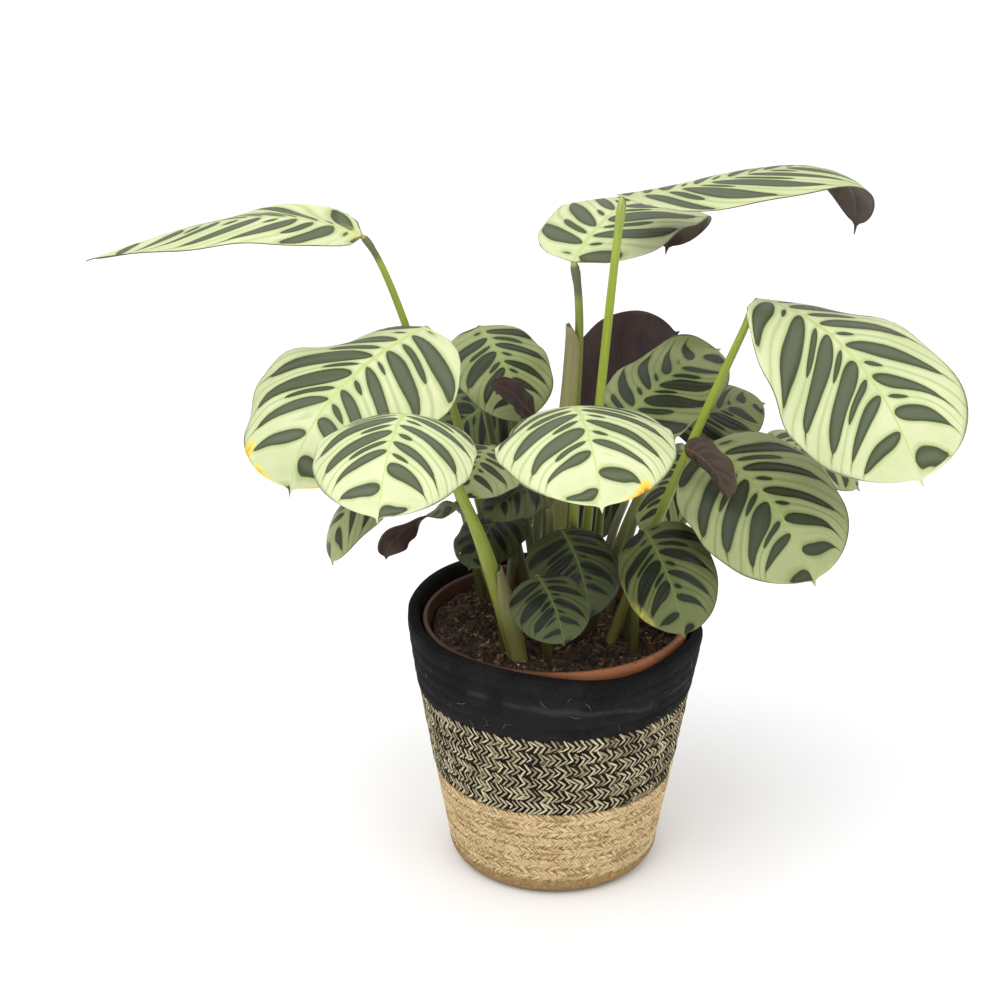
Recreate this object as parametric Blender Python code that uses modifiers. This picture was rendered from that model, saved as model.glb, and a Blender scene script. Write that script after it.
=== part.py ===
"""Potted leafy house plant in a coiled basket, one solid for each separate piece.

Metres in the scene, millimetres in the tables below. The origin is the centre of the
basket's underside, +Z is up and the photo looks along +Y.
"""
import math
from collections import namedtuple

import bmesh
import bpy
import numpy as np

for old in list(bpy.data.objects):
    bpy.data.objects.remove(old, do_unlink=True)

MM = 0.001
GAP = 0.3                     # clearance between pieces that touch
WELD = 0.00001                # points nearer than this, in metres, are one

# Basket, outer radii at the height of each change of colour
BASKET_STEPS = 40
BASKET_WALL = 6.2
BASKET_FLOOR = 6.0
FOOT_RADIUS = 9.3
FOOT_WALL_RADIUS = 53.2
NATURAL_TOP = 50.3
NATURAL_TOP_RADIUS = 60.5
MIXED_TOP = 94.8
MIXED_TOP_RADIUS = 67.9
RIM_HEIGHT = 126.3
RIM_RADIUS = 73.5
GROOVE_DEPTH = 1.2
NATURAL_ROWS = 5
MIXED_ROWS = 5
BLACK_ROWS = 5
RIM_ROUNDING = 1.6
FOOT_STEPS = 3

# The soft rim is uneven: it rises at the back left, laps over the pot at the front left
# and sinks at the right. How far it stands above its mean height, by the angle in degrees
LIFT_FROM = 98.0
RIM_ANGLES = (-180, -165, -150, -130, -115, -100, -85, -70, -55, -42, -30, -15, 0, 15, 30,
              60, 90, 105, 120, 135, 150, 165, 180)
RIM_LIFTS = (5.7, 4.6, 4.2, 5.2, 4.6, 3.2, 1.0, -1.2, -1.4, 0.4, 1.2, -1.0, -3.8, -5.2, -5.4,
             -1.5, 3.9, 6.2, 7.9, 8.7, 8.5, 7.4, 5.7)

# Plant pot that stands in the basket
POT_STEPS = 40
POT_BASE_RADIUS = 45.0
POT_LIP_RADIUS = 65.0
POT_TOP = 129.2
POT_NECK_RADIUS = 62.4
POT_NECK = 120.0
POT_WALL = 1.2
POT_FLOOR = 1.5
LIP_ROUNDING = 0.7
LIP_STEP = 0.8
POT_CHAMFER = 1.0
DRAIN_COUNT = 6
DRAIN_RADIUS = 4.0
DRAIN_CIRCLE = 30.0
DRAIN_SIDES = 16

# Soil in the pot
SOIL_TOP = 116.0
SOIL_STEPS = 32
SOIL_RINGS = (0.16, 0.34, 0.52, 0.70, 0.86, 1.0)
SOIL_BUMP = 1.0
SOIL_WAVES = (0.31, 0.27, 0.17, -0.23)
SOIL_PHASES = (1.3, 0.4, 2.1)
SOIL_FITTED = 3.0             # the top's edge is fitted to the pot this far below it
HOLE_CLEARANCE = 0.4
HOLE_TOP = 121.0

# Leaf blades and stalks
ROOT_HEIGHT = 100.0
BLADE_THICKNESS = 0.8
WIDEST_AT = 0.42
BASE_SHAPE = (2.8, 2.2)       # powers that round the outline at the base
TIP_SHAPE = (2.6, 1.8)        # and towards the tip
BLUNT_END = 0.985
BASE_HALF_WIDTH = 1.2
TIP_HALF_WIDTH = 0.6
VEIN_SWEEP = 0.52
VEIN_BEND_ALONG = 0.30
VEIN_BEND_ACROSS = 0.62
RIB_SAMPLES = 120
SECTION_STEPS = 12
WAVES = 3
WAVE_SHIFT = 1.3
LAP_FROM = 0.4                # a bent margin bends from this share of its half width on
SMALL_WIDTH = 46.0
BIG_ROWS = (0, 0.05, 0.14, 0.26, 0.40, 0.54, 0.68, 0.80, 0.90, 0.97, 1)
BIG_COLUMNS = (-1, -0.66, -0.32, 0, 0.32, 0.66, 1)
SMALL_ROWS = (0, 0.07, 0.22, 0.42, 0.62, 0.82, 0.95, 1)
SMALL_COLUMNS = (-1, -0.5, 0, 0.5, 1)
STALK_POINTS = 9
STALK_GIRTH = (2.6, 1.8)
STALK_LEAN = 0.7
STALK_TURN = 0.35             # how far a stalk's end turns from its chord to the blade
END_APART = 0.6               # room for the blade's thickness at the stalk's end
END_SKEW = 1.15

# A leaf: where its stalk is rooted, where its blade begins and ends, its greatest width,
# how steeply the midrib leaves the base (rise) and meets the tip (fall), its sideways
# sweep, how the blade is rolled about the midrib at the base and how much more at the
# tip (twist), how far the margins droop (cup) or lift at the rib (fold), the reach of the
# midrib's two handles, the height of the waves, the directions and handle lengths of the
# stalk at the root and at the blade, and its radii from the root to the blade (girth).
FIELDS = ("name root base tip width rise fall side roll twist cup fold reach_in reach_out "
          "wave start end start_reach end_reach girth")
DEFAULTS = (0, 0, 0, 20, 0, 0.36, 0.36, 1.0, None, None, 0.4, 0.3, STALK_GIRTH)
Leaf = namedtuple("Leaf", FIELDS, defaults=DEFAULTS)

LEAVES = (
    Leaf("leaf_01", (-21, 22), (-92, 30, 312), (-223, 30, 300), 60, 30, 14, roll=-2, twist=8,
         cup=8, fold=-6, wave=0.5, start=(-0.32, 0.02, 1), end=(-0.8, 0, 0.75),
         start_reach=0.5, end_reach=0.10, girth=(2.5, 1.5)),
    Leaf("leaf_02", (-20, 36), (-62, 8, 274), (-122, -58, 215), 92, 25, 45, side=-3, roll=4,
         twist=-40, cup=35, wave=2.0, start=(-0.22, -0.06, 1), end=(-0.35, -0.35, 1),
         start_reach=0.5, end_reach=0.15),
    Leaf("leaf_03", (-17, -20), (-67, -56, 253), (-78, -136, 234), 75, 42, 45, roll=-2,
         cup=40, wave=1.2, start=(-0.20, -0.10, 1), end=(-0.6, -0.25, 1), start_reach=0.45,
         end_reach=0.35, girth=(2.6, 3.7, 3.8, 2.8, 2.2, 1.9)),
    Leaf("leaf_04", (2, 12), (4, -30, 247), (16, -112, 229), 84, 42, 45, roll=2, cup=30,
         wave=1.2, start=(0.12, -0.10, 1), end=(-0.15, -0.25, 1)),
    Leaf("leaf_05", (-10, 38), (-37, 66, 256), (-17, 28, 218), 52, 25, 40, roll=4, wave=1.2),
    Leaf("leaf_06", (-10, 6), (-31, 3, 216), (-43, -18, 197), 46, 30, 30, start=(0.06, 0.06, 1),
         end=(-0.55, -0.4, 0.65), start_reach=0.5, end_reach=0.2),
    Leaf("leaf_07", (8, 46), (21, 98, 196), (67, 112, 239), 64, 12, 12, roll=92),
    Leaf("leaf_08", (20, 36), (30, 30, 214), (84, 70, 243), 60, 20, 20, roll=10, cup=25,
         wave=1.2),
    Leaf("leaf_09", (22, -6), (91, -10, 293), (163, -60, 220), 98, 36, 22, side=8, roll=-14,
         twist=68, cup=25, wave=1.5, start=(0.30, 0, 1), end=(0.38, 0, 1), start_reach=0.5,
         end_reach=0.2),
    Leaf("leaf_10", (2, 37), (7, 6, 306), (56, 84, 288), 70, 48, 105, reach_in=0.50,
         reach_out=0.45, wave=1.2, start=(0.045, -0.14, 1), end=(-0.25, -0.1, 1),
         start_reach=0.5, end_reach=0.16),
    Leaf("leaf_11", (12, 38), (28, -12, 341), (142, 40, 310), 62, 11, 85, roll=-4, cup=24,
         reach_in=0.40, reach_out=0.45, wave=0.4, start=(0.065, -0.22, 1),
         end=(0.1, -0.15, 1), start_reach=0.5, end_reach=0.2),
    Leaf("leaf_12", (32, 2), (71, -5, 220), (118, -55, 169), 76, 22, 25, roll=14, twist=12,
         cup=22, wave=1.2),
    Leaf("leaf_13", (14, 12), (58, -30, 228), (78, -42, 207), 20, 30, 30, roll=100,
         end=(0.7, -0.6, 0.15), end_reach=0.15),
    Leaf("leaf_14", (34, 26), (107, 65, 197), (155, 50, 174), 40, 20, 30, roll=8, wave=0.6),
    Leaf("leaf_15", (6, 0), (2, -16, 181), (15, -40, 145), 50, 30, 30, cup=30),
    Leaf("leaf_16", (-2, -18), (-10, -50, 172), (2, -72, 147), 40, 30, 30, roll=4, cup=30,
         wave=0.8, start=(-0.05, -0.55, 1), end=(0, -0.25, 1)),
    Leaf("leaf_17", (38, -12), (41, -22, 184), (58, -64, 147), 46, 25, 34, side=-4, roll=28,
         cup=30),
    Leaf("leaf_18", (-27, -2), (-23, 16, 178), (-42, -10, 157), 38, 25, 30, cup=30, wave=0.8),
    Leaf("leaf_19", (-32, 34), (-62, 36, 202), (-109, 8, 152), 38, 30, 60, cup=45, wave=0.6),
    Leaf("leaf_20", (-24, -13), (-49, -12, 193), (-81, -26, 170), 26, 20, 50, twist=90,
         cup=20, start=(-0.05, -0.32, 1), end=(-0.8, 0.02, 0.6)),
    Leaf("leaf_21", (-10, -6), (-6, -5, 201), (-34, -25, 189), 36, 20, 30, cup=30, wave=0.8,
         end=(-0.3, -0.2, 1)),
    Leaf("leaf_22", (28, 14), (67, 26, 204), (47, 8, 165), 28, 20, 30, roll=-40, cup=30,
         wave=0.8, start=(0.45, 0.25, 1), end=(-0.1, -0.7, 0.6), end_reach=0.2),
    Leaf("leaf_23", (24, 24), (62, 66, 200), (109, 78, 211), 54, 20, 20, roll=15),
    Leaf("leaf_24", (-12, 22), (-11, 24, 223), (-32, 10, 245), 13, 10, 30, roll=110, cup=30,
         start=(0, -0.02, 1), end=(-0.45, -0.4, 1), start_reach=0.5, end_reach=0.2),
    Leaf("leaf_25", (-4, 49), (-18, 93, 214), (-62, 91, 169), 50, 20, 30, roll=-35, cup=25,
         wave=1.2, start=(-0.05, 0.1, 1)),
    Leaf("leaf_26", (25, 44), (38, 98, 158), (-12, 102, 134), 54, 20, 20, roll=-50, cup=15,
         wave=1.2, start=(0.0, 0.0, 1), end=(-0.3, 1, 0.2), start_reach=0.9),
)

# A pale sheath beside a stalk: how many points of the stalk's path it follows, the
# direction it lies in, and its radius at the root and at the top
SHEATHS = {
    "leaf_03": (4, (1.0, -0.35, 0.0), (1.8, 2.2, 1.9, 0.6)),
    "leaf_10": (7, (-1.0, -0.25, 0.0), (2.6, 2.6, 1.6)),
}

# A margin that bends over: its side, the share of the length where it bends most, how far
# that reaches along the blade, and the extra bend at the margin in degrees
LAPS = {
    "leaf_01": ((-1, 0.05, 0.32, -45), (1, 0.95, 0.22, -35)),
    "leaf_02": ((-1, 0.45, 0.12, -25), (-1, 0.75, 0.10, 30)),
    "leaf_04": ((-1, 0.20, 0.15, 40),),
    "leaf_08": ((1, 0.90, 0.10, -90),),
    "leaf_13": ((-1, 0.50, 0.40, 160),),
}

Ribbon = namedtuple("Ribbon", "rib along tangent normal across length")


def new_collection(name):
    made = bpy.data.collections.new(name)
    bpy.context.scene.collection.children.link(made)
    return made


PLANT = new_collection("potted_calathea")
CUTTERS = new_collection("cutters")


def material(name, colour, roughness):
    made = bpy.data.materials.new(name)
    made.use_nodes = True
    shader = made.node_tree.nodes["Principled BSDF"]
    shader.inputs["Base Color"].default_value = (*colour, 1.0)
    shader.inputs["Roughness"].default_value = roughness
    return made


BLACK_FIBRE = material("black_fibre", (0.012, 0.012, 0.014), 0.95)
MIXED_FIBRE = material("mixed_fibre", (0.24, 0.19, 0.12), 0.95)
NATURAL_FIBRE = material("natural_fibre", (0.60, 0.44, 0.24), 0.95)
TERRACOTTA = material("terracotta_plastic", (0.27, 0.10, 0.045), 0.6)
SOIL_DARK = material("soil_dark", (0.035, 0.020, 0.012), 1.0)
LEAF_GREEN = material("leaf_green", (0.38, 0.47, 0.17), 0.5)
STALK_GREEN = material("stalk_green", (0.22, 0.27, 0.06), 0.5)
SHEATH_PALE = material("sheath_pale", (0.40, 0.36, 0.22), 0.6)


def place(name, mesh, surface):
    made = bpy.data.objects.new(name, mesh)
    made.data.materials.append(surface)
    PLANT.objects.link(made)
    return made


def hide_as_cutter(made):
    CUTTERS.objects.link(made)
    made.hide_render = True
    made.display_type = "WIRE"


def baked(source):
    """A plain mesh of the object with its modifiers or bevel in it."""
    graph = bpy.context.evaluated_depsgraph_get()
    mesh = bpy.data.meshes.new_from_object(source.evaluated_get(graph), depsgraph=graph)
    work = bmesh.new()
    work.from_mesh(mesh)
    bmesh.ops.remove_doubles(work, verts=work.verts, dist=WELD)
    bmesh.ops.recalc_face_normals(work, faces=work.faces)
    work.to_mesh(mesh)
    work.free()
    return mesh


def profile_object(name, points, closed, steps, surface):
    """A profile in millimetres (radius, height) turned about Z."""
    mesh = bpy.data.meshes.new(name)
    verts = [(r * MM, 0.0, z * MM) for r, z in points]
    edges = [(i, i + 1) for i in range(len(points) - 1)]
    if closed:
        edges.append((len(points) - 1, 0))
    mesh.from_pydata(verts, edges, [])
    made = place(name, mesh, surface)
    turn = made.modifiers.new("turn", "SCREW")
    turn.axis = "Z"
    turn.steps = steps
    turn.render_steps = steps
    turn.use_merge_vertices = True
    turn.merge_threshold = WELD
    return made


def outer_radius(z):
    heights = (FOOT_RADIUS, NATURAL_TOP, MIXED_TOP, RIM_HEIGHT)
    radii = (FOOT_WALL_RADIUS, NATURAL_TOP_RADIUS, MIXED_TOP_RADIUS, RIM_RADIUS)
    return float(np.interp(z, heights, radii))


def coiled_side(top, bottom, rows):
    """Outer side of a band from the top down: a crest in each row, a groove between."""
    height = (top - bottom) / rows
    points = [(outer_radius(top) - GROOVE_DEPTH, top)]
    for row in range(rows):
        crest = top - (row + 0.5) * height
        groove = top - (row + 1) * height
        points.append((outer_radius(crest), crest))
        points.append((outer_radius(groove) - GROOVE_DEPTH, groove))
    return points


def inner_side(bottom, top):
    return [(outer_radius(z) - BASKET_WALL, z) for z in (bottom, top)]


def make_natural_band():
    points = [(0, BASKET_FLOOR)]
    points += inner_side(BASKET_FLOOR, NATURAL_TOP)
    points += coiled_side(NATURAL_TOP, FOOT_RADIUS, NATURAL_ROWS)
    centre = FOOT_WALL_RADIUS - FOOT_RADIUS
    for i in range(1, FOOT_STEPS + 1):
        angle = i * math.pi / 2 / FOOT_STEPS
        points.append((centre + FOOT_RADIUS * math.cos(angle),
                       FOOT_RADIUS - FOOT_RADIUS * math.sin(angle)))
    points.append((0, 0))
    profile_object("basket_natural_band", points, False, BASKET_STEPS, NATURAL_FIBRE)


def make_mixed_band():
    bottom = NATURAL_TOP + GAP
    points = coiled_side(MIXED_TOP, bottom, MIXED_ROWS) + inner_side(bottom, MIXED_TOP)
    profile_object("basket_mixed_band", points, True, BASKET_STEPS, MIXED_FIBRE)


def rim_lift(angle):
    """How far the uneven rim stands above its mean height at an angle in radians."""
    return float(np.interp(math.degrees(angle), RIM_ANGLES, RIM_LIFTS))


def make_black_band():
    bottom = MIXED_TOP + GAP
    side = coiled_side(RIM_HEIGHT - RIM_ROUNDING, bottom, BLACK_ROWS)
    inner = inner_side(bottom, RIM_HEIGHT - RIM_ROUNDING)
    top = [(RIM_RADIUS - BASKET_WALL + RIM_ROUNDING, RIM_HEIGHT),
           (RIM_RADIUS - GROOVE_DEPTH - RIM_ROUNDING, RIM_HEIGHT)]
    turned = profile_object("band_before_lift", side + inner + top, True, BASKET_STEPS,
                            BLACK_FIBRE)
    mesh = baked(turned)
    bpy.data.objects.remove(turned, do_unlink=True)
    span = (RIM_HEIGHT - LIFT_FROM) * MM
    for vert in mesh.vertices:
        share = max(0.0, (vert.co.z - LIFT_FROM * MM) / span)
        vert.co.z += rim_lift(math.atan2(vert.co.y, vert.co.x)) * MM * share
    mesh.materials.clear()
    place("basket_black_band", mesh, BLACK_FIBRE)


def pot_outer(z):
    heights = (BASKET_FLOOR + GAP, POT_NECK)
    return float(np.interp(z, heights, (POT_BASE_RADIUS, POT_NECK_RADIUS)))


def cylinder_cutter(name, radius, x, y, bottom, top, sides):
    work = bmesh.new()
    bmesh.ops.create_cone(work, cap_ends=True, segments=sides, radius1=radius * MM,
                          radius2=radius * MM, depth=(top - bottom) * MM)
    bmesh.ops.translate(work, verts=work.verts,
                        vec=(x * MM, y * MM, (top + bottom) / 2 * MM))
    mesh = bpy.data.meshes.new(name)
    work.to_mesh(mesh)
    work.free()
    made = bpy.data.objects.new(name, mesh)
    hide_as_cutter(made)
    return made


def cut(target, cutter):
    step = target.modifiers.new(cutter.name, "BOOLEAN")
    step.operation = "DIFFERENCE"
    step.solver = "EXACT"
    step.object = cutter


def make_pot():
    bottom = BASKET_FLOOR + GAP
    floor = bottom + POT_FLOOR
    points = [
        (0, floor),
        (pot_outer(floor) - POT_WALL, floor),
        (POT_NECK_RADIUS - POT_WALL, POT_NECK),
        (POT_LIP_RADIUS - POT_WALL - 2 * LIP_ROUNDING, POT_TOP - LIP_ROUNDING),
        (POT_LIP_RADIUS - POT_WALL - LIP_ROUNDING, POT_TOP),
        (POT_LIP_RADIUS - LIP_ROUNDING, POT_TOP),
        (POT_LIP_RADIUS, POT_TOP - LIP_ROUNDING),
        (POT_LIP_RADIUS, POT_NECK + LIP_STEP),
        (POT_LIP_RADIUS - LIP_STEP, POT_NECK),
        (POT_NECK_RADIUS, POT_NECK),
        (pot_outer(bottom + POT_CHAMFER), bottom + POT_CHAMFER),
        (POT_BASE_RADIUS - POT_CHAMFER, bottom),
        (0, bottom),
    ]
    pot = profile_object("nursery_pot", points, False, POT_STEPS, TERRACOTTA)
    for i in range(DRAIN_COUNT):
        angle = 2 * math.pi * i / DRAIN_COUNT
        drain = cylinder_cutter("drain_%d" % (i + 1), DRAIN_RADIUS,
                                DRAIN_CIRCLE * math.cos(angle),
                                DRAIN_CIRCLE * math.sin(angle),
                                bottom - 1, floor + 1, DRAIN_SIDES)
        cut(pot, drain)


def soil_bump(x, y):
    a, b, c, d = SOIL_WAVES
    rough = math.sin(a * x + SOIL_PHASES[0]) * math.cos(b * y + SOIL_PHASES[1])
    return SOIL_BUMP * (rough + math.sin(c * x + d * y + SOIL_PHASES[2]))


def soil_radius(z):
    return pot_outer(z) - POT_WALL - GAP


def circle_of(radius, z, steps, bump=False):
    out = []
    for i in range(steps):
        angle = 2 * math.pi * i / steps
        x = radius * math.cos(angle)
        y = radius * math.sin(angle)
        out.append((x, y, z + (soil_bump(x, y) if bump else 0.0)))
    return out


def make_soil():
    """Rings from the middle of the top out to the wall, down it and in to the middle."""
    bottom = BASKET_FLOOR + 2 * GAP + POT_FLOOR
    edge = soil_radius(SOIL_TOP - SOIL_FITTED)
    rings = [circle_of(edge * share, SOIL_TOP, SOIL_STEPS, True) for share in SOIL_RINGS]
    rings.append(circle_of(soil_radius(bottom), bottom, SOIL_STEPS))
    verts = [(0.0, 0.0, SOIL_TOP + soil_bump(0, 0))]
    for ring in rings:
        verts += ring
    verts.append((0.0, 0.0, bottom))
    last = len(verts) - 1
    faces = []
    for i in range(SOIL_STEPS):
        j = (i + 1) % SOIL_STEPS
        faces.append((0, 1 + i, 1 + j))
        for k in range(len(rings) - 1):
            a = 1 + k * SOIL_STEPS
            b = a + SOIL_STEPS
            faces.append((a + i, b + i, b + j, a + j))
        c = 1 + (len(rings) - 1) * SOIL_STEPS
        faces.append((c + i, last, c + j))
    mesh = bpy.data.meshes.new("soil")
    mesh.from_pydata([(x * MM, y * MM, z * MM) for x, y, z in verts], [], faces)
    work = bmesh.new()
    work.from_mesh(mesh)
    bmesh.ops.triangulate(work, faces=work.faces)
    work.to_mesh(mesh)
    work.free()
    return place("soil", mesh, SOIL_DARK)


def unit(v):
    v = np.asarray(v, float)
    return v / np.linalg.norm(v)


def turned(v, axis, degrees):
    a = math.radians(degrees)
    k = unit(axis)
    v = np.asarray(v, float)
    return v * math.cos(a) + np.cross(k, v) * math.sin(a) + k * (k @ v) * (1 - math.cos(a))


def bezier(p0, p1, p2, p3, count):
    t = np.linspace(0, 1, count)[:, None]
    s = 1 - t
    return s ** 3 * p0 + 3 * s * s * t * p1 + 3 * s * t * t * p2 + t ** 3 * p3


def midrib(leaf):
    base = np.array(leaf.base, float)
    tip = np.array(leaf.tip, float)
    chord = tip - base
    reach = np.linalg.norm(chord)
    along = chord / reach
    left = unit(np.cross((0, 0, 1), along))
    up = np.cross(along, left)
    leave = turned(turned(along, left, -leaf.rise), up, leaf.side)
    arrive = turned(turned(along, left, leaf.fall), up, -leaf.side)
    return bezier(base, base + leave * leaf.reach_in * reach,
                  tip - arrive * leaf.reach_out * reach, tip, RIB_SAMPLES)


def carried(normal, before, after):
    """The normal carried along the rib without any turn about it."""
    axis = np.cross(before, after)
    size = np.linalg.norm(axis)
    if size > 1e-9:
        normal = turned(normal, axis, math.degrees(math.atan2(size, before @ after)))
    return unit(normal - after * (normal @ after))


def ribbon(leaf):
    rib = midrib(leaf)
    tangent = np.gradient(rib, axis=0)
    tangent /= np.linalg.norm(tangent, axis=1)[:, None]
    normals = [unit(np.array((0.0, 0, 1)) - tangent[0] * tangent[0][2])]
    for i in range(1, RIB_SAMPLES):
        normals.append(carried(normals[-1], tangent[i - 1], tangent[i]))
    normal = np.empty_like(rib)
    across = np.empty_like(rib)
    for i in range(RIB_SAMPLES):
        roll = leaf.roll + leaf.twist * i / (RIB_SAMPLES - 1)
        normal[i] = turned(normals[i], tangent[i], roll)
        across[i] = turned(np.cross(normals[i], tangent[i]), tangent[i], roll)
    pieces = np.linalg.norm(np.diff(rib, axis=0), axis=1)
    along = np.concatenate([[0], np.cumsum(pieces)])
    return Ribbon(rib, along, tangent, normal, across, along[-1])


def half_width(t):
    """Share of the greatest half width at the share t of the leaf's length."""
    if t < WIDEST_AT:
        return (1 - (1 - t / WIDEST_AT) ** BASE_SHAPE[0]) ** (1 / BASE_SHAPE[1])
    late = min(1.0, (t / BLUNT_END - WIDEST_AT) / (1 - WIDEST_AT))
    return (1 - max(late, 0.0) ** TIP_SHAPE[0]) ** (1 / TIP_SHAPE[1])


def margin(leaf, t):
    least = BASE_HALF_WIDTH if t < WIDEST_AT else TIP_HALF_WIDTH
    return max(least, half_width(t) * leaf.width / 2)


def lap_slope(leaf, t, y, out):
    """Extra slope of a bent margin, where out is the share of the way from rib to margin."""
    slope = np.zeros_like(out)
    for side, at, reach, degrees in LAPS.get(leaf.name, ()):
        if y * side > 0:
            near = math.exp(-((t - at) / reach) ** 2)
            part = np.clip((out - LAP_FROM) / (1 - LAP_FROM), 0, 1)
            slope = slope + math.radians(degrees) * near * part
    return slope


def surface_point(leaf, strip, x, y):
    """The point x along the midrib and y across it, on the arched and waved blade."""
    at = [np.array([np.interp(x, strip.along, table[:, i]) for i in range(3)])
          for table in (strip.rib, strip.normal, strip.across)]
    share = abs(y) / (leaf.width / 2)
    bend = math.radians(leaf.cup) * share
    steps = (np.arange(SECTION_STEPS) + 0.5) / SECTION_STEPS
    out = steps * min(1.0, abs(y) / margin(leaf, x / strip.length))
    slope = bend * steps - math.radians(leaf.fold)
    slope = slope + lap_slope(leaf, x / strip.length, y, out)
    wide = np.cos(slope).mean() * y
    drop = np.sin(slope).mean() * abs(y)
    phase = 2 * math.pi * WAVES * x / strip.length + (0.0 if y > 0 else WAVE_SHIFT)
    lift = leaf.wave * share ** 2 * math.sin(phase) - drop
    return at[0] + unit(at[1]) * lift + unit(at[2]) * wide


def vein_point(leaf, strip, u, v):
    """The point at the share v from the midrib to the margin on the vein that starts at u."""
    start = u * strip.length
    end = strip.length * (u + VEIN_SWEEP * u * (1 - u))
    wide = margin(leaf, end / strip.length)
    s = abs(v)
    bend = start + (end - start) * VEIN_BEND_ALONG
    x = (1 - s) ** 2 * start + 2 * s * (1 - s) * bend + s * s * end
    y = 2 * s * (1 - s) * VEIN_BEND_ACROSS * wide + s * s * wide
    return surface_point(leaf, strip, x, math.copysign(y, v))


def blade(leaf, strip):
    small = leaf.width < SMALL_WIDTH
    rows = SMALL_ROWS if small else BIG_ROWS
    columns = SMALL_COLUMNS if small else BIG_COLUMNS
    verts = [tuple(vein_point(leaf, strip, u, v) * MM) for u in rows for v in columns]
    wide = len(columns)
    faces = []
    for i in range(len(rows) - 1):
        for j in range(wide - 1):
            a = i * wide + j
            b = a + wide
            faces += [(a, a + 1, b + 1), (a, b + 1, b)]
    mesh = bpy.data.meshes.new(leaf.name + "_blade")
    mesh.from_pydata(verts, [], faces)
    made = place(leaf.name + "_blade", mesh, LEAF_GREEN)
    thick = made.modifiers.new("thickness", "SOLIDIFY")
    thick.thickness = BLADE_THICKNESS * MM
    thick.offset = 0.0
    return made


def stalk_path(leaf, strip):
    root = np.array((leaf.root[0], leaf.root[1], ROOT_HEIGHT), float)
    base = np.array(leaf.base, float)
    reach = np.linalg.norm(base - root)
    chord = unit(base - root)
    start = unit(leaf.start or (chord[0] * STALK_LEAN, chord[1] * STALK_LEAN, 1.0))
    end = unit(leaf.end or chord * (1 - STALK_TURN) + strip.tangent[0] * STALK_TURN)
    skew = abs(end @ strip.across[0])
    apart = GAP + END_APART * abs(end @ strip.normal[0])
    apart += END_SKEW * leaf.girth[-1] * skew / math.sqrt(1 - skew * skew)
    last = base - end * apart
    return bezier(root, root + start * leaf.start_reach * reach,
                  last - end * leaf.end_reach * reach, last, STALK_POINTS)


def spread(girth, count):
    """Radii at count even places, from a few given ones."""
    return np.interp(np.linspace(0, 1, count), np.linspace(0, 1, len(girth)), girth)


def tube(name, points, radii):
    curve = bpy.data.curves.new(name, "CURVE")
    curve.dimensions = "3D"
    curve.bevel_depth = MM
    curve.bevel_resolution = 2
    curve.use_fill_caps = True
    line = curve.splines.new("POLY")
    line.points.add(len(points) - 1)
    for point, place_at, radius in zip(line.points, points, radii):
        point.co = (*(place_at * MM), 1.0)
        point.radius = radius
    made = bpy.data.objects.new(name, curve)
    bpy.context.scene.collection.objects.link(made)
    mesh = baked(made)
    bpy.data.objects.remove(made, do_unlink=True)
    return mesh


def stand_in_soil(name, path, radii, surface, soil):
    """A tube along the path, with a plain hole for it in the soil."""
    place(name, tube(name, path, radii), surface)
    count = int(np.argmax(path[:, 2] > HOLE_TOP)) + 1
    deep = path[0] - unit(path[1] - path[0]) * HOLE_CLEARANCE
    hole_path = np.vstack([deep, path[1:count]])
    hole_name = name + "_hole"
    mesh = tube(hole_name, hole_path, radii[:count] + HOLE_CLEARANCE)
    cutter = bpy.data.objects.new(hole_name, mesh)
    hide_as_cutter(cutter)
    cut(soil, cutter)


def make_stalk(leaf, strip, soil):
    path = stalk_path(leaf, strip)
    radii = spread(leaf.girth, len(path))
    stand_in_soil(leaf.name + "_stalk", path, radii, STALK_GREEN, soil)


def make_sheath(leaf, strip, soil):
    count, side, girth = SHEATHS[leaf.name]
    path = stalk_path(leaf, strip)
    stalk = spread(leaf.girth, len(path))[:count]
    ahead = np.gradient(path, axis=0)[:count]
    radii = spread(girth, count)
    beside = np.empty((count, 3))
    for i in range(count):
        forward = unit(ahead[i])
        away = unit(np.array(side) - forward * (forward @ np.array(side)))
        beside[i] = path[i] + away * (stalk[i] + radii[i] + GAP)
    stand_in_soil(leaf.name + "_sheath", beside, radii, SHEATH_PALE, soil)


make_natural_band()
make_mixed_band()
make_black_band()
make_pot()
earth = make_soil()
for each in LEAVES:
    strip_of_leaf = ribbon(each)
    blade(each, strip_of_leaf)
    make_stalk(each, strip_of_leaf, earth)
    if each.name in SHEATHS:
        make_sheath(each, strip_of_leaf, earth)
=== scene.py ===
# %% [markdown]
# # A striped calathea in a coiled basket
#
# The real thing is a leafy house plant in a plastic pot, which stands in a basket sewn
# from plaited fibre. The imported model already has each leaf, stalk and band in its right
# place, so this lesson only dresses it: finer surfaces, and the finish of each of them.

# %% Load the frame
import math
from collections import namedtuple

import bpy
import numpy as np
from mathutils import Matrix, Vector, noise


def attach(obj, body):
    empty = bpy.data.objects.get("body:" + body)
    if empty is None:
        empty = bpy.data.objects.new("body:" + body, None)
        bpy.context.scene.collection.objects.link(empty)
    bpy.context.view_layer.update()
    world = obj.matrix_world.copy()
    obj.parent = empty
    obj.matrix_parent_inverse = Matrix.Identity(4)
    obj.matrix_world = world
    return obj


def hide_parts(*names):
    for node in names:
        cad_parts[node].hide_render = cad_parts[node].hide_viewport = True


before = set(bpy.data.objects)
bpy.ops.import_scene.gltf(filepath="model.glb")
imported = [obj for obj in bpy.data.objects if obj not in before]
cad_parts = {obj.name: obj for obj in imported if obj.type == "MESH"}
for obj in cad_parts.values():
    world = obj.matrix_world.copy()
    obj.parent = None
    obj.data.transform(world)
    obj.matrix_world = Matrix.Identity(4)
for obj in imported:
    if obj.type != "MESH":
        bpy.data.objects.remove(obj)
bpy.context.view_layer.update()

MM = 0.001
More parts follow.
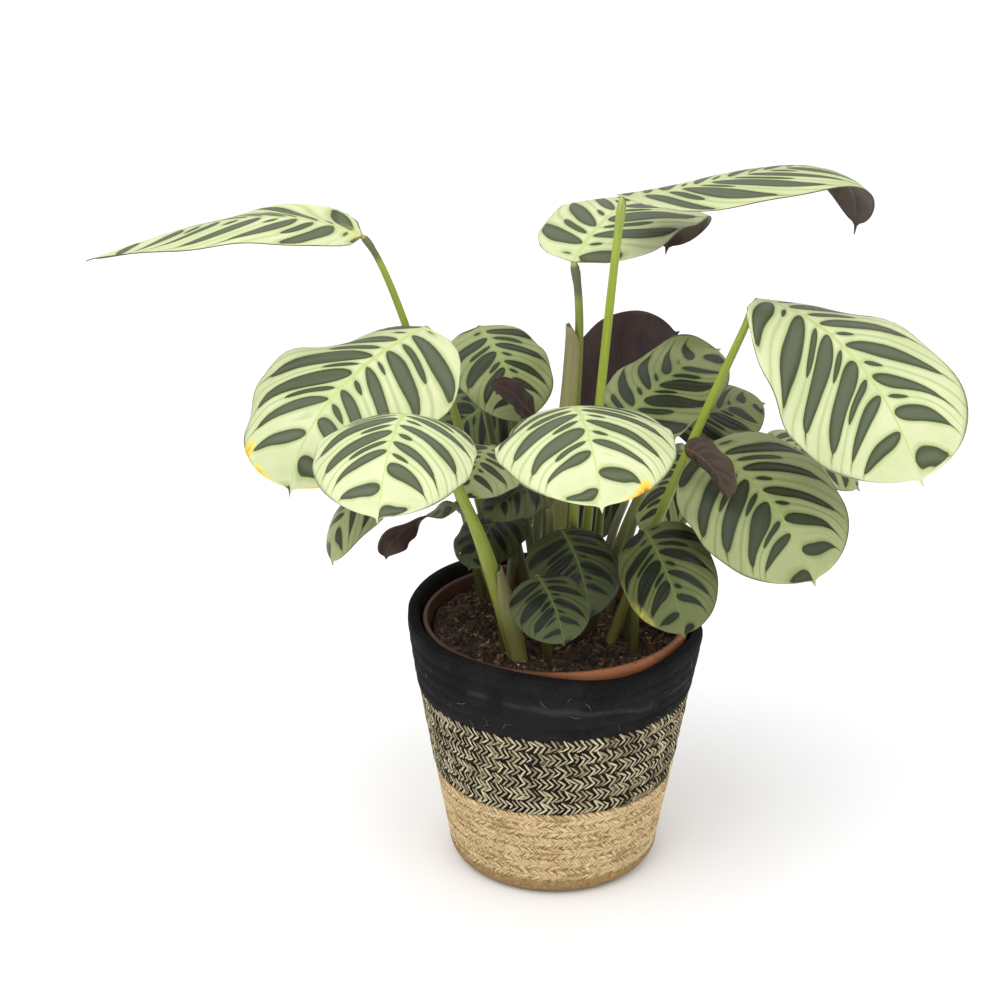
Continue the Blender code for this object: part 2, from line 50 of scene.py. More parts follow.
BODY = "root"

# %% [markdown]
# ## The photographer's camera
#
# The ellipses of the basket's bands tell how far the camera looks down and how far away
# it stands. They were measured once, and the numbers are kept here.

# %% Camera


def linked(name, data):
    """A new object at the origin, put in the scene."""
    made = bpy.data.objects.new(name, data)
    bpy.context.scene.collection.objects.link(made)
    return made


CAMERA_AT = (-0.0300, -0.9349, 0.5702)
CAMERA_PITCH = math.radians(22.148)
CAMERA_YAW = math.radians(0.182)
FOCAL_PIXELS = 2100.0
PHOTO_PIXELS = 1000.0
SENSOR_MM = 36.0


def make_camera():
    lens = bpy.data.cameras.new("camera")
    lens.sensor_width = SENSOR_MM
    lens.sensor_fit = "HORIZONTAL"
    lens.lens = FOCAL_PIXELS / PHOTO_PIXELS * SENSOR_MM
    lens.clip_start = 0.01
    eye = linked("camera", lens)
    ahead = Vector((math.sin(CAMERA_YAW) * math.cos(CAMERA_PITCH),
                    math.cos(CAMERA_YAW) * math.cos(CAMERA_PITCH),
                    -math.sin(CAMERA_PITCH)))
    eye.location = CAMERA_AT
    eye.rotation_euler = ahead.to_track_quat("-Z", "Y").to_euler()
    bpy.context.scene.camera = eye
    print("camera: lens %.1f mm" % lens.lens)


make_camera()

# %% [markdown]
# ## A short way to write node trees
#
# A material or a Geometry Nodes tree is a list of nodes and the links between them. This
# small helper adds a node, sets its options, and fills its sockets: a socket takes either
# a plain value or the output of an earlier node.

# %% Node helper


class Recipe:
    def __init__(self, tree):
        self.tree = tree

    def feed(self, socket, value):
        if isinstance(value, bpy.types.NodeSocket):
            self.tree.links.new(value, socket)
        elif value is not None:
            socket.default_value = value

    def node(self, kind, sockets=(), **options):
        made = self.tree.nodes.new(kind)
        for key, value in options.items():
            setattr(made, key, value)
        for name, value in dict(sockets).items():
            self.feed(made.inputs[name], value)
        return made

    def maths(self, operation, a, b=None, c=None):
        made = self.node("ShaderNodeMath", operation=operation)
        for socket, value in zip(made.inputs, (a, b, c)):
            self.feed(socket, value)
        return made.outputs[0]

    def step(self, value, low, high, out_low=0.0, out_high=1.0):
        """A soft step from out_low to out_high while the value goes from low to high."""
        made = self.node("ShaderNodeMapRange", interpolation_type="SMOOTHSTEP")
        for name, number in (("Value", value), ("From Min", low), ("From Max", high),
                             ("To Min", out_low), ("To Max", out_high)):
            self.feed(made.inputs[name], number)
        return made.outputs[0]

    def blend(self, share, a, b):
        """From colour a to colour b. The node's sockets share names, so they go by number."""
        made = self.node("ShaderNodeMix", data_type="RGBA")
        for number, value in ((0, share), (6, a), (7, b)):
            self.feed(made.inputs[number], value)
        return made.outputs[2]

    def ramp(self, share, stops):
        """A colour between stops, each a place from 0 to 1 and its colour."""
        made = self.node("ShaderNodeValToRGB")
        dots = made.color_ramp.elements
        while len(dots) < len(stops):
            dots.new(0.5)
        for dot, (place, colour) in zip(dots, stops):
            dot.position = place
            dot.color = rgba(colour)
        self.feed(made.inputs[0], share)
        return made.outputs[0]

    def noise(self, where, scale, detail=2.0, rough=0.5):
        return self.node("ShaderNodeTexNoise", {"Vector": where, "Scale": scale,
                                                "Detail": detail, "Roughness": rough}).outputs[0]

    def stretched(self, where, scale):
        return self.node("ShaderNodeMapping", {"Vector": where, "Scale": scale}).outputs[0]

    def split(self, place):
        return self.node("ShaderNodeSeparateXYZ", {"Vector": place}).outputs

    def on_object(self):
        """A pattern's place on the object, which neither pose nor camera changes."""
        return self.node("ShaderNodeTexCoord").outputs["Object"]

    def on_surface(self):
        """A pattern's place on the piece's own UV map."""
        return self.node("ShaderNodeUVMap", uv_map="UVMap").outputs["UV"]

    def attribute(self, name):
        return self.node("ShaderNodeAttribute", attribute_name=name).outputs["Fac"]

    def bump(self, height, strength, distance):
        return self.node("ShaderNodeBump", {"Height": height, "Strength": strength,
                                            "Distance": distance}).outputs[0]


def rgba(colour):
    return (*colour, 1.0)


def new_material(name):
    made = bpy.data.materials.new(name)
    made.use_nodes = True
    shader = made.node_tree.nodes["Principled BSDF"]
    return Recipe(made.node_tree), shader, made


def dress(r, shader, colour, roughness, bump=None, specular=None):
    """Feeds the shader; bump is a height, its strength and its depth in metres."""
    r.feed(shader.inputs["Base Color"], colour)
    r.feed(shader.inputs["Roughness"], roughness)
    if bump:
        r.feed(shader.inputs["Normal"], r.bump(*bump))
    r.feed(shader.inputs["Specular IOR Level"], specular)


def new_group(name, inputs, outputs):
    """A shader node group with float inputs and outputs, and its two end nodes."""
    tree = bpy.data.node_groups.new(name, "ShaderNodeTree")
    for label, kind, value in inputs:
        made = tree.interface.new_socket(label, in_out="INPUT", socket_type=kind)
        if value is not None:
            made.default_value = value
    for label in outputs:
        tree.interface.new_socket(label, in_out="OUTPUT", socket_type="NodeSocketFloat")
    return Recipe(tree), tree.nodes.new("NodeGroupInput"), tree.nodes.new("NodeGroupOutput")


FLOAT = "NodeSocketFloat"
VECTOR = "NodeSocketVector"

# %% [markdown]
# ## The shape of a leaf
#
# A leaf of this plant is an oval sheet that arches along its midrib and droops to both
# sides, and its side veins leave the midrib and sweep towards the tip. If the rows of
# the grid follow those veins, then the two numbers of the grid, how far along the rib a
# vein starts and how far out on it a point lies, are just what the stripes need. So the
# grid is made first and its two numbers are kept as the UV map.

# %% Leaf table
# Places are millimetres and angles are degrees. The stalk runs from its root in the soil
# to the base of the midrib. At base and tip the midrib leaves its chord by the angles
# rise and fall. The blade rolls and twists about it, folds at it and cups towards the
# margins. Start and end are the stalk's directions, and the reaches say how stiffly the
# two curves keep to their directions. Girth is the stalk's radii from the soil up.
ROOT_HEIGHT = 100.0
STALK_GIRTH = (2.6, 1.8)
FIELDS = ("name root base tip width rise fall side roll twist cup fold reach_in reach_out "
          "wave start end start_reach end_reach girth")
DEFAULTS = (0, 0, 0, 20, 0, 0.36, 0.36, 1.0, None, None, 0.4, 0.3, STALK_GIRTH)
Leaf = namedtuple("Leaf", FIELDS, defaults=DEFAULTS)

LEAVES = (
    Leaf("leaf_01", (-21, 22), (-92, 30, 312), (-223, 30, 300), 60, 30, 14, roll=-2, twist=8,
         cup=8, fold=-6, wave=0.5, start=(-0.32, 0.02, 1), end=(-0.8, 0, 0.75),
         start_reach=0.5, end_reach=0.10, girth=(2.5, 1.5)),
    Leaf("leaf_02", (-20, 36), (-62, 8, 274), (-122, -58, 215), 92, 25, 45, side=-3, roll=4,
         twist=-40, cup=35, wave=2.0, start=(-0.22, -0.06, 1), end=(-0.35, -0.35, 1),
         start_reach=0.5, end_reach=0.15),
    Leaf("leaf_03", (-17, -20), (-67, -56, 253), (-78, -136, 234), 75, 42, 45, roll=-2,
         cup=40, wave=1.2, start=(-0.20, -0.10, 1), end=(-0.6, -0.25, 1), start_reach=0.45,
         end_reach=0.35, girth=(2.6, 3.7, 3.8, 2.8, 2.2, 1.9)),
    Leaf("leaf_04", (2, 12), (4, -30, 247), (16, -112, 229), 84, 42, 45, roll=2, cup=30,
         wave=1.2, start=(0.12, -0.10, 1), end=(-0.15, -0.25, 1)),
    Leaf("leaf_05", (-10, 38), (-37, 66, 256), (-17, 28, 218), 52, 25, 40, roll=4, wave=1.2),
    Leaf("leaf_06", (-10, 6), (-31, 3, 216), (-43, -18, 197), 46, 30, 30, start=(0.06, 0.06, 1),
         end=(-0.55, -0.4, 0.65), start_reach=0.5, end_reach=0.2),
    Leaf("leaf_07", (8, 46), (21, 98, 196), (67, 112, 239), 64, 12, 12, roll=92),
    Leaf("leaf_08", (20, 36), (30, 30, 214), (84, 70, 243), 60, 20, 20, roll=10, cup=25,
         wave=1.2),
    Leaf("leaf_09", (22, -6), (91, -10, 293), (163, -60, 220), 98, 36, 22, side=8, roll=-14,
         twist=68, cup=25, wave=1.5, start=(0.30, 0, 1), end=(0.38, 0, 1), start_reach=0.5,
         end_reach=0.2),
    Leaf("leaf_10", (2, 37), (7, 6, 306), (56, 84, 288), 70, 48, 105, reach_in=0.50,
         reach_out=0.45, wave=1.2, start=(0.045, -0.14, 1), end=(-0.25, -0.1, 1),
         start_reach=0.5, end_reach=0.16),
    Leaf("leaf_11", (12, 38), (28, -12, 341), (142, 40, 310), 62, 11, 85, roll=-4, cup=24,
         reach_in=0.40, reach_out=0.45, wave=0.4, start=(0.065, -0.22, 1),
         end=(0.1, -0.15, 1), start_reach=0.5, end_reach=0.2),
    Leaf("leaf_12", (32, 2), (71, -5, 220), (118, -55, 169), 76, 22, 25, roll=14, twist=12,
         cup=22, wave=1.2),
    Leaf("leaf_13", (14, 12), (58, -30, 228), (78, -42, 207), 20, 30, 30, roll=100,
         end=(0.7, -0.6, 0.15), end_reach=0.15),
    Leaf("leaf_14", (34, 26), (107, 65, 197), (155, 50, 174), 40, 20, 30, roll=8, wave=0.6),
    Leaf("leaf_15", (6, 0), (2, -16, 181), (15, -40, 145), 50, 30, 30, cup=30),
    Leaf("leaf_16", (-2, -18), (-10, -50, 172), (2, -72, 147), 40, 30, 30, roll=4, cup=30,
         wave=0.8, start=(-0.05, -0.55, 1), end=(0, -0.25, 1)),
    Leaf("leaf_17", (38, -12), (41, -22, 184), (58, -64, 147), 46, 25, 34, side=-4, roll=28,
         cup=30),
    Leaf("leaf_18", (-27, -2), (-23, 16, 178), (-42, -10, 157), 38, 25, 30, cup=30, wave=0.8),
    Leaf("leaf_19", (-32, 34), (-62, 36, 202), (-109, 8, 152), 38, 30, 60, cup=45, wave=0.6),
    Leaf("leaf_20", (-24, -13), (-49, -12, 193), (-81, -26, 170), 26, 20, 50, twist=90,
         cup=20, start=(-0.05, -0.32, 1), end=(-0.8, 0.02, 0.6)),
    Leaf("leaf_21", (-10, -6), (-6, -5, 201), (-34, -25, 189), 36, 20, 30, cup=30, wave=0.8,
         end=(-0.3, -0.2, 1)),
    Leaf("leaf_22", (28, 14), (67, 26, 204), (47, 8, 165), 28, 20, 30, roll=-40, cup=30,
         wave=0.8, start=(0.45, 0.25, 1), end=(-0.1, -0.7, 0.6), end_reach=0.2),
    Leaf("leaf_23", (24, 24), (62, 66, 200), (109, 78, 211), 54, 20, 20, roll=15),
    Leaf("leaf_24", (-12, 22), (-11, 24, 223), (-32, 10, 245), 13, 10, 30, roll=110, cup=30,
         start=(0, -0.02, 1), end=(-0.45, -0.4, 1), start_reach=0.5, end_reach=0.2),
    Leaf("leaf_25", (-4, 49), (-18, 93, 214), (-62, 91, 169), 50, 20, 30, roll=-35, cup=25,
         wave=1.2, start=(-0.05, 0.1, 1)),
    Leaf("leaf_26", (25, 44), (38, 98, 158), (-12, 102, 134), 54, 20, 20, roll=-50, cup=15,
         wave=1.2, start=(0.0, 0.0, 1), end=(-0.3, 1, 0.2), start_reach=0.9),
)

# A pale sheath beside a stalk: the share of the stalk's path that it follows, the
# direction it lies in, its girth from the root to the top, how far it stands off, and
# how soon it starts to taper
Sheath = namedtuple("Sheath", "reach side girth stand taper")
SHEATHS = {
    "leaf_03": Sheath(3 / 8, (1.0, -0.35, 0.0), (1.8, 2.2, 1.9, 0.6), 1.4, 3.0),
    "leaf_10": Sheath(6 / 8, (-1.0, -0.25, 0.0), (2.6, 2.6, 1.6), 2.3, 14.0),
}

# A margin that bends over: its side, the share of the length where it bends most, how far
# that reaches along the blade, and the extra bend at the margin in degrees
LAPS = {
    "leaf_01": ((-1, 0.05, 0.32, -45), (1, 0.95, 0.22, -35)),
    "leaf_02": ((-1, 0.45, 0.12, -25), (-1, 0.75, 0.10, 30)),
    "leaf_04": ((-1, 0.20, 0.15, 40),),
    "leaf_08": ((1, 0.90, 0.10, -90),),
    "leaf_13": ((-1, 0.50, 0.40, 160),),
}

print("leaves:", len(LEAVES))

# %% [markdown]
# The midrib is one smooth curve from the stalk to the tip. A frame of three directions is
# carried along it without a twist of its own, and each leaf's roll and twist are added.

# %% Midrib
RIB_SAMPLES = 120
STRAIGHT = 1e-9
Ribbon = namedtuple("Ribbon", "rib along tangent normal across length")


def unit(v):
    """The same direction with the length 1."""
    v = np.asarray(v, float)
    return v / np.linalg.norm(v, axis=-1, keepdims=True)


def turned(v, axis, degrees):
    """The vector v, turned about the axis."""
    a = math.radians(degrees)
    k = unit(axis)
    v = np.asarray(v, float)
    return v * math.cos(a) + np.cross(k, v) * math.sin(a) + k * (k @ v) * (1 - math.cos(a))


def bezier(p0, p1, p2, p3, count):
    """Points on the curve from p0 to p3 that leaves towards p1 and arrives from p2."""
    t = np.linspace(0, 1, count)[:, None]
    s = 1 - t
    return s ** 3 * p0 + 3 * s * s * t * p1 + 3 * s * t * t * p2 + t ** 3 * p3


def midrib(leaf):
    base = np.array(leaf.base, float)
    tip = np.array(leaf.tip, float)
    chord = tip - base
    reach = np.linalg.norm(chord)
    along = chord / reach
    left = unit(np.cross((0, 0, 1), along))
    up = np.cross(along, left)
    leave = turned(turned(along, left, -leaf.rise), up, leaf.side)
    arrive = turned(turned(along, left, leaf.fall), up, -leaf.side)
    return bezier(base, base + leave * leaf.reach_in * reach,
                  tip - arrive * leaf.reach_out * reach, tip, RIB_SAMPLES)


def carried(normal, before, after):
    """The normal, turned as the curve's direction turns from before to after."""
    axis = np.cross(before, after)
    size = np.linalg.norm(axis)
    if size > STRAIGHT:
        normal = turned(normal, axis, math.degrees(math.atan2(size, before @ after)))
    return unit(normal - after * (normal @ after))


def ribbon(leaf):
    """The midrib, with the directions along it, out of the blade and across it."""
    rib = midrib(leaf)
    tangent = unit(np.gradient(rib, axis=0))
    normals = [unit(np.array((0.0, 0, 1)) - tangent[0] * tangent[0][2])]
    for i in range(1, RIB_SAMPLES):
        normals.append(carried(normals[-1], tangent[i - 1], tangent[i]))
    normal = np.empty_like(rib)
    across = np.empty_like(rib)
    for i in range(RIB_SAMPLES):
        roll = leaf.roll + leaf.twist * i / (RIB_SAMPLES - 1)
        normal[i] = turned(normals[i], tangent[i], roll)
        across[i] = turned(np.cross(normals[i], tangent[i]), tangent[i], roll)
    pieces = np.linalg.norm(np.diff(rib, axis=0), axis=1)
    along = np.concatenate([[0], np.cumsum(pieces)])
    return Ribbon(rib, along, tangent, normal, across, along[-1])


# %% [markdown]
# The outline is a super-ellipse on each side of the widest place, with a narrow drip tip.
# A cross section is an arc: it folds at the rib, cups towards the margin, and waves a
# little. Where a margin laps over, its outer part bends further.

# %% Outline and section
WIDEST_AT = 0.42
BASE_SHAPE = (2.8, 2.2)
TIP_SHAPE = (2.6, 1.8)
BLUNT_END = 0.965
BASE_HALF_WIDTH = 1.2
DRIP_HALF_WIDTH = 3.0
DRIP_LENGTH = 0.075
DRIP_SHAPE = 1.3
POINT_HALF_WIDTH = 0.15
LAP_FROM = 0.4
SECTION_STEPS = 12
WAVES = 3
WAVE_SHIFT = 1.3


def margin(leaf, t):
    """Half width at the share t of the leaf's length, with a narrow drip tip."""
    early = 1 - np.clip(1 - t / WIDEST_AT, 0, 1) ** BASE_SHAPE[0]
    late = np.clip((t / BLUNT_END - WIDEST_AT) / (1 - WIDEST_AT), 0, 1) ** TIP_SHAPE[0]
    wide = np.where(t < WIDEST_AT, early ** (1 / BASE_SHAPE[1]),
                    (1 - late) ** (1 / TIP_SHAPE[1])) * leaf.width / 2
    drip = DRIP_HALF_WIDTH * np.clip((1 - t) / DRIP_LENGTH, 0, 1) ** DRIP_SHAPE
    least = np.where(t < WIDEST_AT, BASE_HALF_WIDTH, drip + POINT_HALF_WIDTH)
    return np.maximum(wide, least)


def lap_slope(leaf, t, y, out):
    """Extra slope of a bent margin, where out is the share of the way from rib to margin."""
    slope = np.zeros_like(out)
    for side, at, reach, degrees in LAPS.get(leaf.name, ()):
        near = np.exp(-((t - at) / reach) ** 2) * (y * side > 0)
        part = np.clip((out - LAP_FROM) / (1 - LAP_FROM), 0, 1)
        slope = slope + math.radians(degrees) * near[..., None] * part
    return slope


def surface_points(leaf, strip, x, y):
    """Points x along the midrib and y across it, on the arched and waved blade."""
    rib, normal, across = (np.stack([np.interp(x, strip.along, table[:, i])
                                     for i in range(3)], -1)
                           for table in (strip.rib, strip.normal, strip.across))
    t = x / strip.length
    share = np.abs(y) / (leaf.width / 2)
    steps = (np.arange(SECTION_STEPS) + 0.5) / SECTION_STEPS
    slope = math.radians(leaf.cup) * share[..., None] * steps - math.radians(leaf.fold)
    out = np.clip(np.abs(y) / margin(leaf, t), 0, 1)[..., None] * steps
    slope = slope + lap_slope(leaf, t, y, out)
    wide = np.cos(slope).mean(-1) * y
    drop = np.sin(slope).mean(-1) * np.abs(y)
    phase = 2 * math.pi * WAVES * t + np.where(y > 0, 0.0, WAVE_SHIFT)
    lift = leaf.wave * share ** 2 * np.sin(phase) - drop
    return rib + unit(normal) * lift[..., None] + unit(across) * wide[..., None]


# %% Points along the veins
VEIN_SWEEP = 2.3
VEIN_FALL = 1.8
VEIN_BEND_ALONG = 0.42
VEIN_BEND_ACROSS = 0.92


def vein_points(leaf, strip, u, v):
    """Points at the share v from the midrib to the margin on the veins that start at u."""
    start = u * strip.length
    end = strip.length * (u + VEIN_SWEEP * u * (1 - u) ** VEIN_FALL)
    wide = margin(leaf, end / strip.length)
    s = np.abs(v)
    bend = start + (end - start) * VEIN_BEND_ALONG
    x = (1 - s) ** 2 * start + 2 * s * (1 - s) * bend + s * s * end
    y = 2 * s * (1 - s) * VEIN_BEND_ACROSS * wide + s * s * wide
    return surface_points(leaf, strip, x, np.copysign(y, v))


# %% [markdown]
# The blade has a skin on both sides and a rim between them, because a closed shell is
# solid from every side. The midrib stands out underneath, as a real one does.

# %% Grid and faces
BLADE_ROWS = 56
BLADE_HALF_COLUMNS = 13
ROW_EVENNESS = 0.55
COLUMN_CROWD = 1.25


def blade_grid():
    x = np.linspace(0, 1, BLADE_ROWS)
    rows = ROW_EVENNESS * x + (1 - ROW_EVENNESS) * (0.5 - 0.5 * np.cos(math.pi * x))
    half = np.linspace(0, 1, BLADE_HALF_COLUMNS) ** COLUMN_CROWD
    columns = np.concatenate([-half[:0:-1], half])
    return np.meshgrid(rows, columns, indexing="ij")


def grid_normals(points):
    down = np.gradient(points, axis=0)
    over = np.gradient(points, axis=1)
    return unit(np.cross(down, over))


def skin_faces(rows, columns, offset, flip):
    faces = []
    for i in range(rows - 1):
        for j in range(columns - 1):
            a = offset + i * columns + j
            b = a + columns
            faces.append((a, a + 1, b + 1, b) if flip else (a, b, b + 1, a + 1))
    return faces


def rim_faces(rows, columns):
    """Faces that join the two skins round the edge of the grid."""
    ring = [(i, 0) for i in range(rows)]
    ring += [(rows - 1, j) for j in range(1, columns)]
    ring += [(i, columns - 1) for i in range(rows - 2, -1, -1)]
    ring += [(0, j) for j in range(columns - 2, 0, -1)]
    lower = rows * columns
    faces = []
    for (i, j), (k, m) in zip(ring, ring[1:] + ring[:1]):
        a = i * columns + j
        b = k * columns + m
        faces.append((a, lower + a, lower + b, b))
    return faces


def mesh_object(name, points, faces, smooth=True):
    """An object of millimetre points, at the origin."""
    mesh = bpy.data.meshes.new(name)
    mesh.from_pydata((np.asarray(points).reshape(-1, 3) * MM).tolist(), [], faces)
    if smooth:
        mesh.shade_smooth()
    else:
        mesh.shade_flat()
    return linked(name, mesh)


def add_uv(mesh, u, v):
    """A UV map from one pair of numbers for each vertex."""
    layer = mesh.uv_layers.new(name="UVMap")
    corner = np.empty(len(mesh.loops), dtype=np.int32)
    mesh.loops.foreach_get("vertex_index", corner)
    both = np.stack([np.ravel(u)[corner], np.ravel(v)[corner]], -1)
    layer.data.foreach_set("uv", both.astype(np.float32).ravel())


def add_number(mesh, name, values):
    """One number for the whole mesh, or one for each of its vertices."""
    data = mesh.attributes.new(name, "FLOAT", "POINT").data
    data.foreach_set("value", (np.zeros(len(data)) + np.ravel(values)).astype(np.float32))


# %% Yellow places


def yellowed(look, u, v):
    """How yellow each point of the blade's grid is, from the leaf's list of places."""
    blush = np.zeros(u.shape)
    for at_u, at_v, wide_u, wide_v, strength in look.blush:
        near = ((u - at_u) / wide_u) ** 2 + ((v - at_v) / wide_v) ** 2
        blush = np.maximum(blush, strength * np.exp(-near))
    return blush


# %% Leaf blade
BLADE_THICK = 0.45
RIB_THICK = 1.1
RIB_REACH = 0.05
RIB_END = 1.05
LEAST_VEINS = 3.2
VEINS_PER_MM = 0.026


def make_blade(leaf, strip, look):
    u, v = blade_grid()
    middle = vein_points(leaf, strip, u, v)
    out = grid_normals(middle)
    out[0] = out[1]
    out[-1] = out[-2]
    rib = np.exp(-(np.abs(v) / RIB_REACH) ** 2) * (RIB_END - u)
    top = middle + out * (BLADE_THICK / 2)
    under = middle - out * (BLADE_THICK / 2 + RIB_THICK * rib)[..., None]
    rows, columns = u.shape
    count = rows * columns
    upper = skin_faces(rows, columns, 0, False)
    lower = skin_faces(rows, columns, count, True)
    points = np.concatenate([top.reshape(-1, 3), under.reshape(-1, 3)])
    faces = upper + lower + rim_faces(rows, columns)
    made = mesh_object(leaf.name + "_blade_skin", points, faces)
    mesh = made.data
    index = [0] * len(upper) + [1] * (len(mesh.polygons) - len(upper))
    mesh.polygons.foreach_set("material_index", index)
    add_uv(mesh, np.tile(u.ravel(), 2), np.tile(v.ravel(), 2) / 2 + 0.5)
    add_number(mesh, "blush", np.tile(yellowed(look, u, v).ravel(), 2))
    add_number(mesh, "tone", look.tone)
    add_number(mesh, "seed", look.seed)
    add_number(mesh, "veins", LEAST_VEINS + VEINS_PER_MM * strip.length)
    return made


# %% [markdown]
# ## The fishbone pattern
#
# Each side vein carries a long dark feather, round at the midrib and drawn out to a fine
# point towards the margin, with a small oval blot between some of the pairs. The pattern is
# a rule on the UV map, so it is written once as a node group for both faces of the leaf.
# Its outputs are distances from a feather's edge and masks, and no colours.

# %% Feathers
# Places along a vein are shares of the way from the midrib to the margin
FEATHER_SALT = 37.0
LONG_WIDTHS = (0.80, 1.15)
LONG_ENDS = (0.66, 0.86)
LONG_START = 0.02
LONG_HEAD = 0.20
LONG_TAPER = 0.60
TAIL_FROM = 0.30
TAIL_TO = 0.96
TAIL_WIDTH = 0.62
SHORT_ENDS = (0.14, 0.46)
SHORT_START = 0.04
SHORT_HEAD = 0.10
SHORT_TAPER = 0.16
SHORT_WIDTH = 0.50


def feather_chance(r, cells, side, salt, range_of):
    """A number by chance in the range, the same all over one feather."""
    number = r.maths("ADD", r.maths("FLOOR", cells),
                     r.maths("MULTIPLY_ADD", side, FEATHER_SALT, salt))
    chance = r.node("ShaderNodeTexWhiteNoise", {"W": number}, noise_dimensions="1D")
    return r.step(chance.outputs["Value"], 0.0, 1.0, *range_of)


def rounded(r, distance, length):
    """Rises from 0 to 1 over the length as the quarter of an ellipse does."""
    x = r.node("ShaderNodeClamp", {"Value": r.maths("DIVIDE", distance, length)}).outputs[0]
    return r.maths("SQRT", r.maths("MULTIPLY", x, r.maths("SUBTRACT", 2.0, x)))


def inside_feather(r, shape, width, less, cells):
    """How far inside a feather a point lies, in shares of the feathers' spacing."""
    wide = r.maths("SUBTRACT", r.maths("MULTIPLY", shape, width), less)
    off = r.maths("ABSOLUTE", r.maths("SUBTRACT", r.maths("FRACT", cells), 0.5))
    return r.maths("SUBTRACT", wide, off)


def long_feather(r, s, cells, side, width):
    """Round at the midrib, with a tail that fades out before the margin."""
    end = feather_chance(r, cells, side, 5.0, LONG_ENDS)
    head = rounded(r, r.maths("SUBTRACT", s, LONG_START), LONG_HEAD)
    body = rounded(r, r.maths("SUBTRACT", end, s), LONG_TAPER)
    body = r.maths("MAXIMUM", body, r.step(s, TAIL_FROM, TAIL_TO, TAIL_WIDTH, 0.0))
    width = r.maths("MULTIPLY", width, feather_chance(r, cells, side, 0.0, LONG_WIDTHS))
    close = r.step(s, 0.90, 0.97, 0.0, 0.08)
    return inside_feather(r, r.maths("MULTIPLY", head, body), width, close, cells)


def short_feather(r, s, cells, side, width):
    """A small oval half way between two long ones, in the inner half of the way."""
    moved = r.maths("ADD", cells, 0.5)
    end = feather_chance(r, moved, side, 11.0, SHORT_ENDS)
    head = rounded(r, r.maths("SUBTRACT", s, SHORT_START), SHORT_HEAD)
    body = rounded(r, r.maths("SUBTRACT", end, s), SHORT_TAPER)
    width = r.maths("MULTIPLY", width, SHORT_WIDTH)
    return inside_feather(r, r.maths("MULTIPLY", head, body), width, 0.02, moved)


# %% Fishbone group
VEIN_CROWD = 1.3
SIDE_SHIFT = 0.45
RIDGES_PER_FEATHER = 4


def uneven_spacing(r, uv, seed):
    """Broad noise, at another place for each leaf, from -0.5 to 0.5."""
    shift = r.node("ShaderNodeCombineXYZ", {"X": seed, "Y": seed})
    place = r.node("ShaderNodeVectorMath", operation="ADD")
    r.feed(place.inputs[0], r.stretched(uv, (5.0, 2.5, 1.0)))
    r.feed(place.inputs[1], r.stretched(shift.outputs[0], (31.0, 17.0, 1.0)))
    return r.maths("SUBTRACT", r.noise(place.outputs[0], 1.0, 1.0), 0.5)


def make_fishbone():
    r, given, out = new_group("fishbone", [
        ("UV", VECTOR, None), ("Veins", FLOAT, 6.0), ("Seed", FLOAT, 0.0),
        ("Width", FLOAT, 0.25), ("Sway", FLOAT, 0.5)],
        ("Feather", "Rib", "Edge", "Ridges"))
    uv, veins, seed, width, sway = (given.outputs[label] for label in (
        "UV", "Veins", "Seed", "Width", "Sway"))
    u = r.split(uv)["X"]
    v = r.maths("MULTIPLY_ADD", r.split(uv)["Y"], 2.0, -1.0)
    s = r.maths("ABSOLUTE", v)
    side = r.maths("GREATER_THAN", v, 0.0)
    along = r.maths("SUBTRACT", 1.0, r.maths("POWER", r.maths("SUBTRACT", 1.0, u), VEIN_CROWD))
    cells = r.maths("MULTIPLY_ADD", along, veins, r.maths("MULTIPLY_ADD", side, SIDE_SHIFT, seed))
    cells = r.maths("ADD", cells, r.maths("MULTIPLY", uneven_spacing(r, uv, seed), sway))
    width = r.maths("MULTIPLY", width, r.step(u, 0.55, 0.95, 1.08, 0.55))
    short = short_feather(r, s, cells, side, width)
    short = r.maths("SUBTRACT", short, r.step(u, 0.60, 0.74, 0.0, 0.3))
    feather = r.maths("MAXIMUM", long_feather(r, s, cells, side, width), short)
    feather = r.maths("ADD", feather, r.step(u, 0.0, 0.10, -0.10, 0.0))
    rib_wide = r.maths("MULTIPLY_ADD", u, -0.014, 0.024)
    rib = r.step(s, rib_wide, r.maths("MULTIPLY", rib_wide, 0.45), 0.0, 1.0)
    ridges = r.maths("SINE", r.maths("MULTIPLY", cells, 2 * math.pi * RIDGES_PER_FEATHER))
    for label, value in (("Feather", feather), ("Rib", rib), ("Ridges", ridges),
                         ("Edge", r.step(s, 0.965, 0.985))):
        r.feed(out.inputs[label], value)
    return r.tree


FISHBONE = make_fishbone()
print("fishbone group:", len(FISHBONE.nodes), "nodes")

# %% [markdown]
# The young leaves are a pale lime with grey-green feathers, and the old ones low in the
# plant are dark, partly by their own colour and partly by painted shade, as they lie in
# the shade inside the plant. One material does both: it reads how dark a leaf is, painted
# shade included, from a number that is kept on its mesh. The underside is the purple
# brown that such plants have.

# %% Leaf materials
# From the palest leaf to the darkest: the dark ends are partly the old leaves' own colour and partly
# painted shade for the leaves deep inside the plant.
GROUND = ((0.0, (0.66, 0.70, 0.42)), (0.5, (0.265, 0.305, 0.110)), (1.0, (0.044, 0.056, 0.018)))
HALO = ((0.0, (0.42, 0.50, 0.20)), (0.5, (0.150, 0.195, 0.050)), (1.0, (0.026, 0.036, 0.009)))
